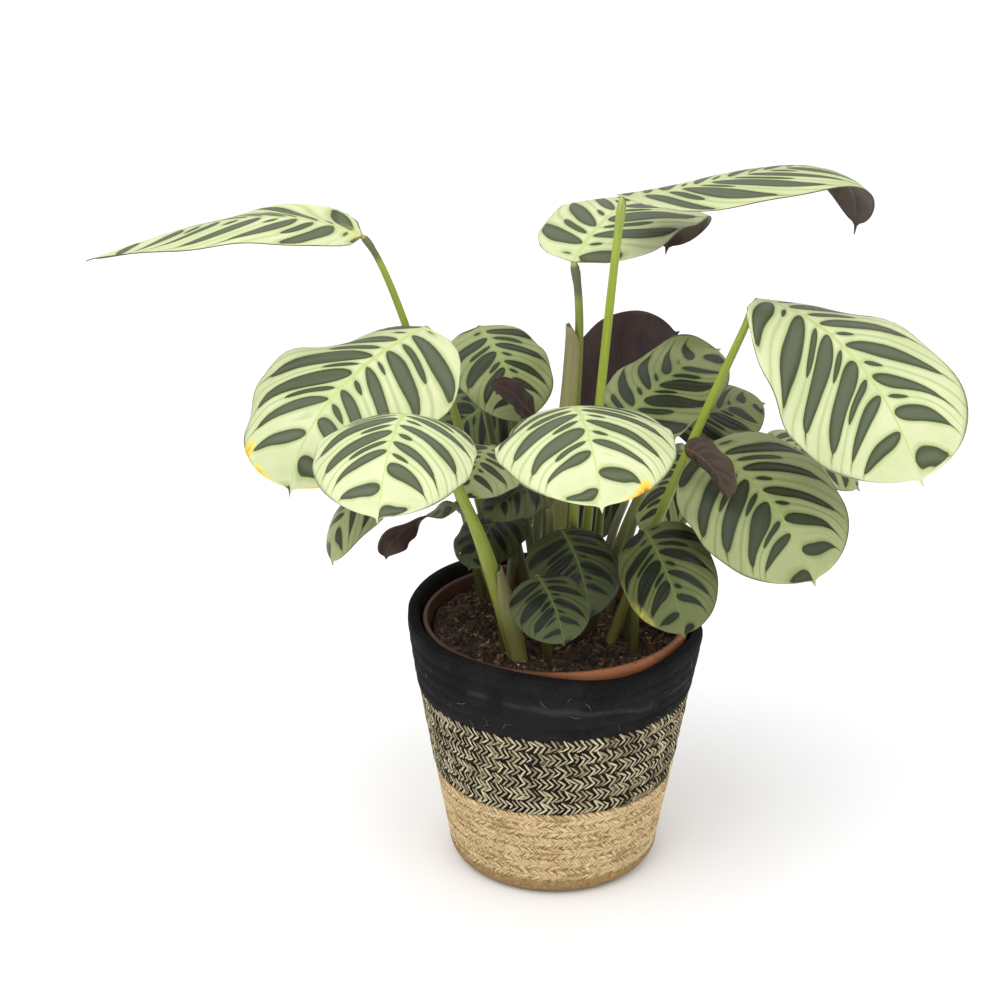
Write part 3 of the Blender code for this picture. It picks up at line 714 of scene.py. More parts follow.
# On a pale leaf the middle of a feather is lighter and greyer than its rim: a painted sheen.
FEATHER_WITH_SHEEN = ((0.0, (0.100, 0.120, 0.066)), (0.5, (0.027, 0.035, 0.015)),
           (1.0, (0.006, 0.009, 0.003)))
RIM = ((0.0, (0.050, 0.068, 0.026)), (0.5, (0.018, 0.026, 0.008)), (1.0, (0.006, 0.009, 0.003)))
RIB = ((0.0, (0.52, 0.62, 0.22)), (0.5, (0.28, 0.36, 0.09)), (1.0, (0.09, 0.12, 0.03)))
EDGE = ((0.0, (0.15, 0.19, 0.06)), (0.5, (0.05, 0.07, 0.02)), (1.0, (0.015, 0.02, 0.007)))
UNDER = ((0.0, (0.085, 0.056, 0.026)), (0.5, (0.060, 0.030, 0.026)), (1.0, (0.046, 0.021, 0.024)))
YELLOW = ((0.0, (0.62, 0.70, 0.14)), (0.5, (0.84, 0.62, 0.09)), (0.85, (0.75, 0.38, 0.04)),
          (1.0, (0.35, 0.14, 0.03)))


def fishbone_node(r):
    where = r.on_surface()
    made = r.node("ShaderNodeGroup", node_tree=FISHBONE)
    r.feed(made.inputs["UV"], where)
    r.feed(made.inputs["Seed"], r.attribute("seed"))
    r.feed(made.inputs["Veins"], r.attribute("veins"))
    return where, made.outputs


def make_leaf_top():
    r, shader, made = new_material("leaf_top")
    where, bone = fishbone_node(r)
    tone = r.attribute("tone")
    cloud = r.noise(r.stretched(where, (4.0, 3.0, 1.0)), 1.0, 4.0)
    fleck = r.noise(r.stretched(where, (30.0, 14.0, 1.0)), 1.0, 3.0)
    feather = bone["Feather"]
    halo = r.ramp(tone, HALO)
    ground = r.blend(r.step(cloud, 0.35, 0.7, 0.0, 0.35), r.ramp(tone, GROUND), halo)
    colour = r.blend(r.step(feather, -0.13, -0.01, 0.0, 0.8), ground, halo)
    # The feather goes from its dark rim to a lighter middle, which is a painted sheen.
    inside = r.blend(r.step(feather, 0.02, 0.15), r.ramp(tone, RIM), r.ramp(tone, FEATHER_WITH_SHEEN))
    colour = r.blend(r.step(feather, -0.018, 0.018), colour, inside)
    colour = r.blend(bone["Rib"], colour, r.ramp(tone, RIB))
    colour = r.blend(r.maths("MULTIPLY", bone["Edge"], 0.75), colour, r.ramp(tone, EDGE))
    blush = r.maths("MULTIPLY", r.attribute("blush"), r.step(fleck, 0.25, 0.6, 0.70, 1.1))
    colour = r.blend(r.step(blush, 0.12, 0.45), colour, r.ramp(blush, YELLOW))
    grain = r.noise(r.stretched(where, (160.0, 90.0, 1.0)), 1.0, 2.0)
    height = r.maths("MULTIPLY_ADD", bone["Ridges"], 0.35, r.maths("MULTIPLY", grain, 0.5))
    height = r.maths("ADD", height, r.maths("MULTIPLY", cloud, 2.5))
    height = r.maths("SUBTRACT", height, bone["Rib"])
    rough = r.maths("MULTIPLY_ADD", grain, 0.1, r.step(feather, -0.02, 0.04, 0.42, 0.32))
    dress(r, shader, colour, rough, (height, 0.32, 0.0006), specular=0.26)
    return made


def make_leaf_under():
    r, shader, made = new_material("leaf_under")
    where, bone = fishbone_node(r)
    cloud = r.noise(r.stretched(where, (6.0, 4.0, 1.0)), 1.0, 3.0)
    ground = r.ramp(r.attribute("tone"), UNDER)
    feather = r.step(bone["Feather"], -0.06, 0.06, 0.0, 0.7)
    colour = r.blend(feather, ground, rgba((0.030, 0.016, 0.018)))
    colour = r.blend(r.step(cloud, 0.3, 0.8, 0.0, 0.35), colour, rgba((0.09, 0.075, 0.030)))
    colour = r.blend(r.maths("MULTIPLY", bone["Rib"], 0.7), colour, rgba((0.16, 0.12, 0.055)))
    dress(r, shader, colour, r.step(cloud, 0.2, 0.8, 0.38, 0.52), (bone["Ridges"], 0.08, 0.0005),
          specular=0.35)
    return made


LEAF_TOP = make_leaf_top()
LEAF_UNDER = make_leaf_under()
print("leaf materials:", LEAF_TOP.name, LEAF_UNDER.name)

# %% [markdown]
# ## Stalks
#
# A stalk is a long tube. It is thickest near the soil, and it ends in a short stiff
# joint that turns the blade to the light. The path is the same smooth curve as in the
# frame, only with more rings.

# %% Stalk shape
STALK_LEAN = 0.7
STALK_TURN = 0.35
STALK_RINGS = 40
STALK_SIDES = 14
JOINT_FROM = 0.90
JOINT_SWELL = 0.22
JOINT_END = 0.7


def stalk_path(leaf, strip, count):
    root = np.array((leaf.root[0], leaf.root[1], ROOT_HEIGHT), float)
    base = np.array(leaf.base, float)
    reach = np.linalg.norm(base - root)
    chord = unit(base - root)
    start = unit(leaf.start or (chord[0] * STALK_LEAN, chord[1] * STALK_LEAN, 1.0))
    end = unit(leaf.end or chord * (1 - STALK_TURN) + strip.tangent[0] * STALK_TURN)
    return bezier(root, root + start * leaf.start_reach * reach,
                  base - end * leaf.end_reach * reach, base, count)


def spread(girth, count):
    """The radii of a short list, spread evenly over more rings."""
    return np.interp(np.linspace(0, 1, count), np.linspace(0, 1, len(girth)), girth)


def rings_along(path, radii, sides):
    """Rings round a path, each square to it, without a turn about it."""
    ahead = unit(np.gradient(path, axis=0))
    side = unit(np.cross(ahead[0], (0.0, 1.0, 0.2)))
    angle = np.arange(sides) * 2 * math.pi / sides
    rings = []
    for i in range(len(path)):
        side = unit(side - ahead[i] * (side @ ahead[i]))
        up = np.cross(ahead[i], side)
        ring = side[None] * np.cos(angle)[:, None] + up[None] * np.sin(angle)[:, None]
        rings.append(path[i] + ring * radii[i])
    return np.array(rings)


def tube_faces(rings, sides):
    """The sides of a tube and its two flat ends."""
    faces = []
    for i in range(rings - 1):
        for j in range(sides):
            k = (j + 1) % sides
            a = i * sides
            b = a + sides
            faces.append((a + j, a + k, b + k, b + j))
    faces.append(tuple(range(sides - 1, -1, -1)))
    faces.append(tuple((rings - 1) * sides + j for j in range(sides)))
    return faces


def make_stalk(leaf, strip, tone):
    path = stalk_path(leaf, strip, STALK_RINGS)
    share = np.linspace(0, 1, STALK_RINGS)
    radii = spread(leaf.girth, STALK_RINGS)
    swell = np.clip((share - JOINT_FROM) / (1 - JOINT_FROM), 0, 1)
    radii = radii * (1 + JOINT_SWELL * np.sin(math.pi * swell))
    radii[-1] *= JOINT_END
    points = rings_along(path, radii, STALK_SIDES)
    made = mesh_object(leaf.name + "_stalk_skin", points, tube_faces(STALK_RINGS, STALK_SIDES))
    about = np.tile(np.arange(STALK_SIDES) / STALK_SIDES, STALK_RINGS)
    add_uv(made.data, np.repeat(share, STALK_SIDES), about)
    add_number(made.data, "tone", tone)
    return made


# %% Stalk material


def make_stalk_finish():
    r, shader, made = new_material("stalk")
    where = r.on_surface()
    along = r.split(where)["X"]
    tone = r.attribute("tone")
    bright = r.ramp(along, ((0.0, (0.24, 0.17, 0.07)), (0.22, (0.28, 0.33, 0.04)),
                            (0.6, (0.32, 0.41, 0.02)), (0.9, (0.35, 0.45, 0.05)),
                            (1.0, (0.40, 0.45, 0.12))))
    # The olive stalks are those inside the plant: their dark olive and brown are partly their own
    # colour and partly painted shade, darkest towards the soil.
    olive_and_shaded = r.ramp(along, ((0.0, (0.050, 0.028, 0.015)), (0.3, (0.045, 0.036, 0.014)),
                           (0.7, (0.075, 0.085, 0.024)), (0.86, (0.15, 0.18, 0.045)),
                           (0.93, (0.17, 0.14, 0.09)), (1.0, (0.26, 0.27, 0.10))))
    colour = r.blend(tone, bright, olive_and_shaded)
    joint = r.maths("MULTIPLY", r.step(along, 0.83, 0.88), r.step(along, 0.975, 0.995, 1.0, 0.0))
    joint = r.maths("MULTIPLY", joint, r.step(tone, 0.1, 0.25, 0.0, 0.85))
    colour = r.blend(joint, colour, rgba((0.085, 0.085, 0.060)))
    streak = r.noise(r.stretched(where, (9.0, 14.0, 1.0)), 1.0, 3.0)
    colour = r.blend(r.step(streak, 0.35, 0.7, 0.0, 0.35), colour, rgba((0.12, 0.13, 0.03)))
    fine = r.noise(r.on_object(), 900.0, 2.0)
    dress(r, shader, colour, r.step(fine, 0.3, 0.7, 0.40, 0.55), (streak, 0.25, 0.0006))
    return made


STALK_FINISH = make_stalk_finish()
print("stalk material:", len(STALK_FINISH.node_tree.nodes), "nodes")

# %% [markdown]
# ## Growing the plant
#
# Each leaf has a look of its own: how dark it is, where its stripes start, how olive and
# dark its stalk is, where it has yellowed, and whether it has turned its back, so that its
# two faces change places. The darkness of the low leaves and their stalks is partly painted
# shade, for the shade inside the plant; leaf_25 and leaf_26 at the back are dark partly as
# painted shade between the stalks. A yellow place is given by how far it lies along the rib
# and across the blade, how wide it is both ways, and its strength.

# %% Looks of the leaves
Look = namedtuple("Look", "tone seed stalk blush turned", defaults=((), False))

LOOKS = {
    "leaf_01": Look(0.03, 0.10, 0.25, ((0.0, 0.0, 0.12, 0.45, 0.27),)),
    "leaf_02": Look(0.05, 0.35, 0.4, ((0.70, -1.0, 0.09, 0.20, 0.9),
                                      (0.90, -1.0, 0.05, 0.28, 0.8),
                                      (0.93, 1.0, 0.04, 0.30, 0.7))),
    "leaf_03": Look(0.00, 0.62, 0.2),
    "leaf_04": Look(0.00, 0.20, 0.5, ((0.80, 1.0, 0.14, 0.26, 1.0),
                                      (0.72, -1.0, 0.04, 0.10, 0.6))),
    "leaf_05": Look(0.40, 0.55, 0.9),
    "leaf_06": Look(0.30, 0.15, 0.9),
    "leaf_07": Look(1.00, 0.45, 0.8, turned=True),
    "leaf_08": Look(0.42, 0.75, 0.7),
    "leaf_09": Look(0.02, 0.05, 0.0),
    "leaf_10": Look(0.04, 0.30, 0.6),
    "leaf_11": Look(0.12, 0.80, 0.0),
    "leaf_12": Look(0.35, 0.25, 0.8),
    "leaf_13": Look(0.30, 0.65, 0.8, turned=True),
    "leaf_14": Look(0.32, 0.40, 0.6),
    "leaf_15": Look(0.97, 0.70, 0.9),
    "leaf_16": Look(0.92, 0.90, 0.9),
    "leaf_17": Look(0.76, 0.33, 0.8, ((0.45, -1.0, 0.40, 0.32, 0.30),)),
    "leaf_18": Look(0.95, 0.12, 0.9, ((0.7, -0.7, 0.03, 0.08, 0.6),)),
    "leaf_19": Look(0.38, 0.48, 0.8),
    "leaf_20": Look(0.70, 0.58, 0.9),
    "leaf_21": Look(0.90, 0.82, 0.9),
    "leaf_22": Look(0.35, 0.95, 0.8),
    "leaf_23": Look(0.62, 0.28, 0.8),
    "leaf_24": Look(1.00, 0.68, 0.8),
    "leaf_25": Look(0.80, 0.22, 0.9),
    "leaf_26": Look(0.90, 0.88, 0.9),
}


def finish_piece(made, slot, *nodes):
    """The piece rides on the body and stands for the nodes given; the slot is not used."""
    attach(made, BODY)
    if nodes:
        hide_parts(*nodes)


def grow_leaf(leaf):
    look = LOOKS[leaf.name]
    strip = ribbon(leaf)
    blade = make_blade(leaf, strip, look)
    for face in (LEAF_UNDER, LEAF_TOP) if look.turned else (LEAF_TOP, LEAF_UNDER):
        blade.data.materials.append(face)
    finish_piece(blade, "leaf_blade", leaf.name + "_blade")
    stalk = make_stalk(leaf, strip, look.stalk)
    stalk.data.materials.append(STALK_FINISH)
    finish_piece(stalk, "leaf_stalk", leaf.name + "_stalk")
    return strip


STRIPS = {each.name: grow_leaf(each) for each in LEAVES}
print("blades and stalks:", 2 * len(STRIPS))

# %% [markdown]
# ## Pale sheaths
#
# A young stalk comes out of a sheath, a thin pale leaf that clasps the stalk beside it
# and ends in a point. It is a strip bent round part of the stalk, so it is made from
# arcs along the stalk's path.

# %% Sheath shape
SHEATH_RINGS = 30
SHEATH_ARC = 9
SHEATH_THICK = 0.5
SHEATH_CLEAR = 0.35
SHEATH_GRIP = math.radians(165)
TIP_GRIP = 0.35
PATH_STEPS = 200


def sheath_arc(sheath, share, ahead, stalk, stand):
    """Directions round part of the stalk, and how far from its middle the sheath lies."""
    side = np.array(sheath.side)
    away = unit(side - ahead * (ahead @ side))
    narrow = min(1.0, (1 - share) * sheath.taper + 0.1)
    grip = SHEATH_GRIP * (TIP_GRIP + (1 - TIP_GRIP) * narrow) / 2
    angle = np.linspace(-grip, grip, SHEATH_ARC)[:, None]
    spoke = away * np.cos(angle) + np.cross(ahead, away) * np.sin(angle)
    return spoke, stalk + SHEATH_CLEAR + stand * sheath.stand * np.cos(angle) ** 2


def make_sheath(leaf, strip):
    sheath = SHEATHS[leaf.name]
    path = stalk_path(leaf, strip, PATH_STEPS + 1)[:int(PATH_STEPS * sheath.reach) + 1]
    path = path[np.linspace(0, len(path) - 1, SHEATH_RINGS).astype(int)]
    share = np.linspace(0, 1, SHEATH_RINGS)
    stalk = np.interp(share * sheath.reach, np.linspace(0, 1, len(leaf.girth)), leaf.girth)
    stand = spread(sheath.girth, SHEATH_RINGS)
    ahead = unit(np.gradient(path, axis=0))
    inner, outer = [], []
    for i in range(SHEATH_RINGS):
        spoke, near = sheath_arc(sheath, share[i], ahead[i], stalk[i], stand[i])
        inner.append(path[i] + spoke * near)
        outer.append(path[i] + spoke * (near + SHEATH_THICK))
    points = np.concatenate([np.array(outer).reshape(-1, 3), np.array(inner).reshape(-1, 3)])
    size = SHEATH_RINGS * SHEATH_ARC
    faces = skin_faces(SHEATH_RINGS, SHEATH_ARC, 0, True)
    faces += skin_faces(SHEATH_RINGS, SHEATH_ARC, size, False)
    faces += [tuple(reversed(face)) for face in rim_faces(SHEATH_RINGS, SHEATH_ARC)]
    made = mesh_object(leaf.name + "_sheath_skin", points, faces)
    along = np.tile(np.repeat(share, SHEATH_ARC), 2)
    across = np.tile(np.tile(np.linspace(0, 1, SHEATH_ARC), SHEATH_RINGS), 2)
    add_uv(made.data, along, across)
    print(leaf.name, "sheath: %.0f mm tall" % (path[-1][2] - path[0][2]))
    return made


# %% Sheath material


def make_sheath_finish():
    r, shader, made = new_material("sheath")
    where = r.on_surface()
    along = r.split(where)["X"]
    # The sheath darkens to brown at its foot: a painted shadow where it meets the soil.
    colour = r.ramp(along, ((0.0, (0.17, 0.13, 0.05)), (0.25, (0.30, 0.30, 0.08)),
                            (0.65, (0.26, 0.27, 0.09)), (1.0, (0.24, 0.21, 0.09))))
    streak = r.noise(r.stretched(where, (3.0, 26.0, 1.0)), 1.0, 3.0)
    colour = r.blend(r.step(streak, 0.4, 0.7, 0.0, 0.5), colour, rgba((0.20, 0.15, 0.08)))
    dress(r, shader, colour, r.step(streak, 0.3, 0.7, 0.5, 0.7), (streak, 0.3, 0.0006))
    return made


SHEATH_FINISH = make_sheath_finish()
for each in LEAVES:
    if each.name in SHEATHS:
        sheath = make_sheath(each, STRIPS[each.name])
        sheath.data.materials.append(SHEATH_FINISH)
        finish_piece(sheath, "leaf_sheath", each.name + "_sheath")

# %% [markdown]
# ## Turned shapes
#
# The pot and the cores of the basket's bands are round, so each is a profile turned
# about Z. The rows of the basket are rounded here, where the frame has plain bevels.

# %% Turning a profile
TURN_STEPS = 160
AXIS = 1e-6


def around(radius, angle, z):
    """The point at this angle on a level circle about Z."""
    return (radius * math.cos(angle), radius * math.sin(angle), z)


def turned_object(name, profile, lift=None, fold=None):
    """A profile of (radius, height) turned about Z, where radius 0 makes a pole.

    Lift and fold are functions of angle and height: one raises a point, the other moves
    it in towards the axis.
    """
    points, starts = [], []
    for radius, z in profile:
        starts.append(len(points))
        if radius < AXIS:
            points.append((0.0, 0.0, z))
            continue
        for i in range(TURN_STEPS):
            angle = 2 * math.pi * i / TURN_STEPS
            raised = z + (lift(angle, z) if lift else 0.0)
            reach = radius - (fold(angle, z) if fold else 0.0)
            points.append(around(reach, angle, raised))
    faces = []
    pairs = list(zip(range(len(profile)), range(1, len(profile))))
    if profile[0][0] > AXIS or profile[-1][0] > AXIS:
        pairs.append((len(profile) - 1, 0))
    for a, b in pairs:
        for i in range(TURN_STEPS):
            j = (i + 1) % TURN_STEPS
            if profile[a][0] < AXIS:
                faces.append((starts[a], starts[b] + i, starts[b] + j))
            elif profile[b][0] < AXIS:
                faces.append((starts[b], starts[a] + j, starts[a] + i))
            else:
                faces.append((starts[a] + j, starts[a] + i, starts[b] + i, starts[b] + j))
    return mesh_object(name, points, faces)


# %% [markdown]
# ## The basket's cores
#
# Each band has a plain wall. On the two woven bands it closes the gaps between the
# strands, and the top rows are black cloth without strands. Their soft rim rises, sinks
# and leans in over the pot, so its height and its lean follow the angle.

# %% Basket cores
BASKET_WALL = 6.2
BASKET_FLOOR = 6.0
FOOT_RADIUS = 9.3
FOOT_WALL_RADIUS = 53.2
NATURAL_TOP = 50.3
NATURAL_TOP_RADIUS = 60.5
MIXED_TOP = 94.8
MIXED_TOP_RADIUS = 67.9
RIM_HEIGHT = 126.3
RIM_RADIUS = 73.5
GAP = 0.3
HEIGHTS = (FOOT_RADIUS, NATURAL_TOP, MIXED_TOP, RIM_HEIGHT)
RADII = (FOOT_WALL_RADIUS, NATURAL_TOP_RADIUS, MIXED_TOP_RADIUS, RIM_RADIUS)
LIFT_FROM = 98.0
RIM_ANGLES = (-180, -165, -150, -130, -115, -100, -85, -70, -55, -42, -30, -15, 0, 15, 30,
              60, 90, 105, 120, 135, 150, 165, 180)
RIM_LIFTS = (5.7, 4.6, 4.2, 5.2, 4.6, 3.2, 1.0, -1.2, -1.4, 0.4, 1.2, -1.0, -3.8, -5.2, -5.4,
             -1.5, 3.9, 6.2, 7.9, 8.7, 8.5, 7.4, 5.7)
RIM_SOFTENING = (-7.0, 0.0, 7.0)
FOLD_ANGLE = math.radians(-95)
FOLD_REACH = 1.8
ROW_POINTS = 7
ROW_SHAPE = 0.6


def outer_radius(z):
    """The basket's outside, which widens in three straight stretches."""
    return float(np.interp(z, HEIGHTS, RADII))


def rim_share(z):
    """How much of the rim's unevenness is felt at this height: none low in the band."""
    return max(0.0, (z - LIFT_FROM) / (RIM_HEIGHT - LIFT_FROM))


def rim_lift(angle, z):
    """How far the rim stands above its even height, as a mean over a few degrees."""
    near = (np.degrees(angle) + np.array(RIM_SOFTENING) + 180) % 360 - 180
    return float(np.interp(near, RIM_ANGLES, RIM_LIFTS).mean()) * rim_share(z)


def rim_fold(angle, z):
    """How far the soft rim leans in over the pot's lip at the front."""
    front = max(0.0, math.cos(angle - FOLD_ANGLE)) ** 0.5
    return FOLD_REACH * front * rim_share(z) ** 3


def rounded_rows(top, bottom, rows, depth, inset=0.0):
    """The outer side from the top down, a half round for each row."""
    height = (top - bottom) / rows
    points = []
    for row in range(rows):
        for i in range(ROW_POINTS):
            if row and i == 0:
                continue
            share = i / (ROW_POINTS - 1)
            z = top - (row + share) * height
            swell = math.sin(math.pi * share) ** ROW_SHAPE
            points.append((outer_radius(z) - inset - depth * (1 - swell), z))
    return points


def band_inner(bottom, top):
    return [(outer_radius(z) - BASKET_WALL, z) for z in (bottom, top)]


# %% [markdown]
# ## The plait
#
# Each row of the basket is a flat plait, whose strands meet in small arrows that point
# one way round. Hundreds of equal strands along a row are work for Geometry Nodes: the
# tree walks along the row, sets an arrow at every step, turns it to face outwards, and
# gives each a number, partly by turns and partly by chance, from which the material
# mixes pale and dark fibre.

# %% Geometry Nodes helper
TINT_SALT = 7


def new_tree(name, inputs):
    tree = bpy.data.node_groups.new(name, "GeometryNodeTree")
    tree.interface.new_socket("Geometry", in_out="INPUT", socket_type="NodeSocketGeometry")
    for label, kind, value in inputs:
        made = tree.interface.new_socket(label, in_out="INPUT", socket_type=kind)
        if value is not None:
            made.default_value = value
    tree.interface.new_socket("Geometry", in_out="OUTPUT", socket_type="NodeSocketGeometry")
    return Recipe(tree), tree.nodes.new("NodeGroupInput"), tree.nodes.new("NodeGroupOutput")


def by_chance(r, low, high, seed, extra):
    """A number by chance for each point, fixed by the seed and the extra number."""
    made = r.node("FunctionNodeRandomValue", data_type="FLOAT")
    r.feed(made.inputs[2], low)
    r.feed(made.inputs[3], high)
    r.feed(made.inputs["Seed"], r.maths("ADD", seed, float(extra)))
    return made.outputs[1]


def finish_tree(r, given, out, instances, turns=0.0):
    """A number on each instance, by chance and by turns, real geometry, and the material."""
    tint = by_chance(r, 0.0, 1.0 - turns, given.outputs["Seed"], TINT_SALT)
    odd = r.maths("MODULO", r.node("GeometryNodeInputIndex").outputs[0], 2.0)
    tint = r.maths("MULTIPLY_ADD", odd, turns, tint)
    stored = r.node("GeometryNodeStoreNamedAttribute",
                    {"Geometry": instances, "Name": "tint"},
                    data_type="FLOAT", domain="INSTANCE")
    r.feed(next(s for s in stored.inputs if s.name == "Value" and s.enabled), tint)
    real = r.node("GeometryNodeRealizeInstances", {"Geometry": stored.outputs[0]})
    painted = r.node("GeometryNodeSetMaterial", {"Geometry": real.outputs[0],
                                                 "Material": given.outputs["Material"]})
    r.feed(out.inputs[0], painted.outputs[0])


def grown(name, source, tree, **values):
    """The plain mesh that the tree makes from the source object."""
    step = source.modifiers.new("nodes", "NODES")
    step.node_group = tree
    for item in tree.interface.items_tree:
        key = item.name.replace(" ", "_").lower()
        if item.in_out == "INPUT" and key in values:
            step[item.identifier] = values[key]
    graph = bpy.context.evaluated_depsgraph_get()
    mesh = bpy.data.meshes.new_from_object(source.evaluated_get(graph), depsgraph=graph)
    mesh.name = name
    source.modifiers.remove(step)
    bpy.data.objects.remove(source, do_unlink=True)
    print(name, len(mesh.polygons), "faces")
    return linked(name, mesh)


# %% Plait tree
BY_TURNS = 0.50
WALL_DROP = -0.010
ARROW_SIZES = (0.84, 1.16)


def make_plait_tree():
    r, given, out = new_tree("plait", [
        ("Arrow", "NodeSocketObject", None), ("Pitch", FLOAT, 0.0025),
        ("Sway", FLOAT, 0.30), ("Seed", "NodeSocketInt", 1),
        ("Material", "NodeSocketMaterial", None)])
    curve = r.node("GeometryNodeMeshToCurve", {"Mesh": given.outputs["Geometry"]})
    steps = r.node("GeometryNodeResampleCurve", {"Curve": curve.outputs[0]}, mode="LENGTH")
    r.feed(steps.inputs["Length"], given.outputs["Pitch"])
    place = r.node("GeometryNodeInputPosition").outputs[0]
    outward = r.node("ShaderNodeVectorMath", operation="MULTIPLY_ADD")
    r.feed(outward.inputs[0], place)
    outward.inputs[1].default_value = (1.0, 1.0, 0.0)
    outward.inputs[2].default_value = (0.0, 0.0, WALL_DROP)
    face = r.node("FunctionNodeAxesToRotation", primary_axis="Z", secondary_axis="X")
    r.feed(face.inputs[0], outward.outputs[0])
    r.feed(face.inputs[1], r.node("GeometryNodeInputTangent").outputs[0])
    seed = given.outputs["Seed"]
    sway = r.maths("MULTIPLY", by_chance(r, -1.0, 1.0, seed, 1), given.outputs["Sway"])
    lean = r.node("ShaderNodeCombineXYZ", {"Z": sway})
    turn = r.node("FunctionNodeEulerToRotation", {"Euler": lean.outputs[0]})
    both = r.node("FunctionNodeRotateRotation", rotation_space="LOCAL")
    r.feed(both.inputs[0], face.outputs[0])
    r.feed(both.inputs[1], turn.outputs[0])
    shape = r.node("GeometryNodeObjectInfo", {"Object": given.outputs["Arrow"]})
    spots = r.node("GeometryNodeInstanceOnPoints", {
        "Points": steps.outputs[0], "Instance": shape.outputs["Geometry"],
        "Rotation": both.outputs[0], "Scale": by_chance(r, *ARROW_SIZES, seed, 2)})
    finish_tree(r, given, out, spots.outputs[0], BY_TURNS)
    return r.tree


PLAIT = make_plait_tree()
print("plait tree:", len(PLAIT.nodes), "nodes")

# %% Arrow of two strands
ARM_RINGS = 4
ARM_SIDES = 5
ARM_START = 0.9
ARM_RAISE = 0.1
ARM_REACH = 0.48
ARM_LEAN = 0.50
ARM_THICK = 0.44
ARM_TIP_THICK = 0.35
SQUARE_TO_ARM = 0.70


def make_arrow(name, height, pitch, sink, plump):
    """Two strands that meet at +X and lean back to the row's edges; +Z is outwards."""
    points, faces, along = [], [], []
    for sign in (1, -1):
        first = len(points)
        for i in range(ARM_RINGS):
            t = i / (ARM_RINGS - 1)
            centre = np.array((pitch * ARM_START - t * height * ARM_LEAN,
                               sign * t * height * ARM_REACH, ARM_RAISE - sink * t * t))
            swell = math.sin(math.pi * (0.15 + 0.7 * t))
            wide = pitch * ARM_THICK * (ARM_TIP_THICK + (1 - ARM_TIP_THICK) * swell)
            for k in range(ARM_SIDES):
                a = 2 * math.pi * k / ARM_SIDES
                across = np.array((SQUARE_TO_ARM, sign * SQUARE_TO_ARM, 0.0)) * math.cos(a) * wide
                out = np.array((0.0, 0.0, 1.0)) * math.sin(a) * wide * plump
                points.append(centre + across + out)
                along.append(t)
        for face in tube_faces(ARM_RINGS, ARM_SIDES):
            turned_face = face if sign < 0 else face[::-1]
            faces.append(tuple(first + k for k in turned_face))
    made = mesh_object(name, points, faces)
    add_uv(made.data, along, np.tile(np.arange(ARM_SIDES) / ARM_SIDES, 2 * ARM_RINGS))
    return made


# %% Lines that the strands follow
GUIDE_STEPS = 180
ROW_TURN = 0.83
ROW_WOBBLE = 0.12
WOBBLES = 5
WOBBLE_SHIFT = 2.3


def row_guides(name, top, bottom, rows, inset):
    """A closed line along the middle of each row, which isn't quite even."""
    height = (top - bottom) / rows
    points, edges = [], []
    for row in range(rows):
        z = top - (row + 0.5) * height
        first = len(points)
        for i in range(GUIDE_STEPS):
            a = 2 * math.pi * i / GUIDE_STEPS + row * ROW_TURN
            wobble = ROW_WOBBLE * math.sin(WOBBLES * a + WOBBLE_SHIFT * row)
            points.append(around(outer_radius(z) - inset + wobble, a, z))
            edges.append((first + i, first + (i + 1) % GUIDE_STEPS))
    mesh = bpy.data.meshes.new(name)
    mesh.from_pydata((np.array(points) * MM).tolist(), edges, [])
    return linked(name, mesh)


# %% [markdown]
# ## Fibre finishes
#
# All three bands are the same dry fibre, natural, dyed black, or a mix of both. They
# share one group that draws fine fibre marks and a little dust.

# %% Fibre group
MARK_SCALE = 420.0
GRAIN_SCALE = 1500.0
DUST_SCALE = 38.0


def make_fibre_group():
    r, given, out = new_group("fibre", [("Place", VECTOR, None), ("Fineness", FLOAT, 1.0)],
                              ("Mark", "Dust", "Grain"))
    place = given.outputs["Place"]
    wide = r.maths("MULTIPLY", given.outputs["Fineness"], MARK_SCALE)
    fine = r.maths("MULTIPLY", given.outputs["Fineness"], GRAIN_SCALE)
    r.feed(out.inputs["Mark"], r.noise(r.stretched(place, (1.0, 1.0, 2.2)), wide, 4.0, 0.6))
    r.feed(out.inputs["Dust"], r.noise(place, DUST_SCALE, 4.0, 0.6))
    r.feed(out.inputs["Grain"], r.noise(place, fine, 2.0))
    return r.tree


FIBRE = make_fibre_group()

# %% Places on the basket, in metres
PATCH_TOP = 0.0588
PATCH_SLOPE = 0.384
CREASE_HEIGHT = 0.1190
CREASE_SLOPE = 0.08
CREASE_SWAY = 0.016
CREASE_WIDTH = 0.0022
CREASE_PALE = 0.20
ALL_DUST = 0.07


def natural_patch(r, place):
    """A mask of the part of the lowest mixed row that is plaited in plain fibre."""
    split = r.split(place)
    low = r.maths("LESS_THAN", split["Z"], PATCH_TOP)
    past = r.maths("MULTIPLY_ADD", split["X"], PATCH_SLOPE, split["Y"])
    behind = r.maths("GREATER_THAN", past, 0.0)
    right = r.maths("GREATER_THAN", split["X"], 0.0)
    return r.maths("MULTIPLY", low, r.maths("MULTIPLY", behind, right))


def pale_crease_and_dust(r, place, wear):
    """A mask of a paler line along the fold of the black cloth, and of a little dust all over it."""
    split = r.split(place)
    line = r.maths("MULTIPLY_ADD", split["X"], CREASE_SLOPE, split["Z"])
    line = r.maths("MULTIPLY_ADD", r.noise(place, 22.0, 2.0), CREASE_SWAY, line)
    off = r.maths("ABSOLUTE", r.maths("SUBTRACT", line, CREASE_HEIGHT))
    line = r.step(off, 0.0, CREASE_WIDTH, CREASE_PALE, 0.0)
    return r.maths("MULTIPLY", r.maths("ADD", line, ALL_DUST), r.step(wear, 0.40, 0.62))


# %% Fibre material


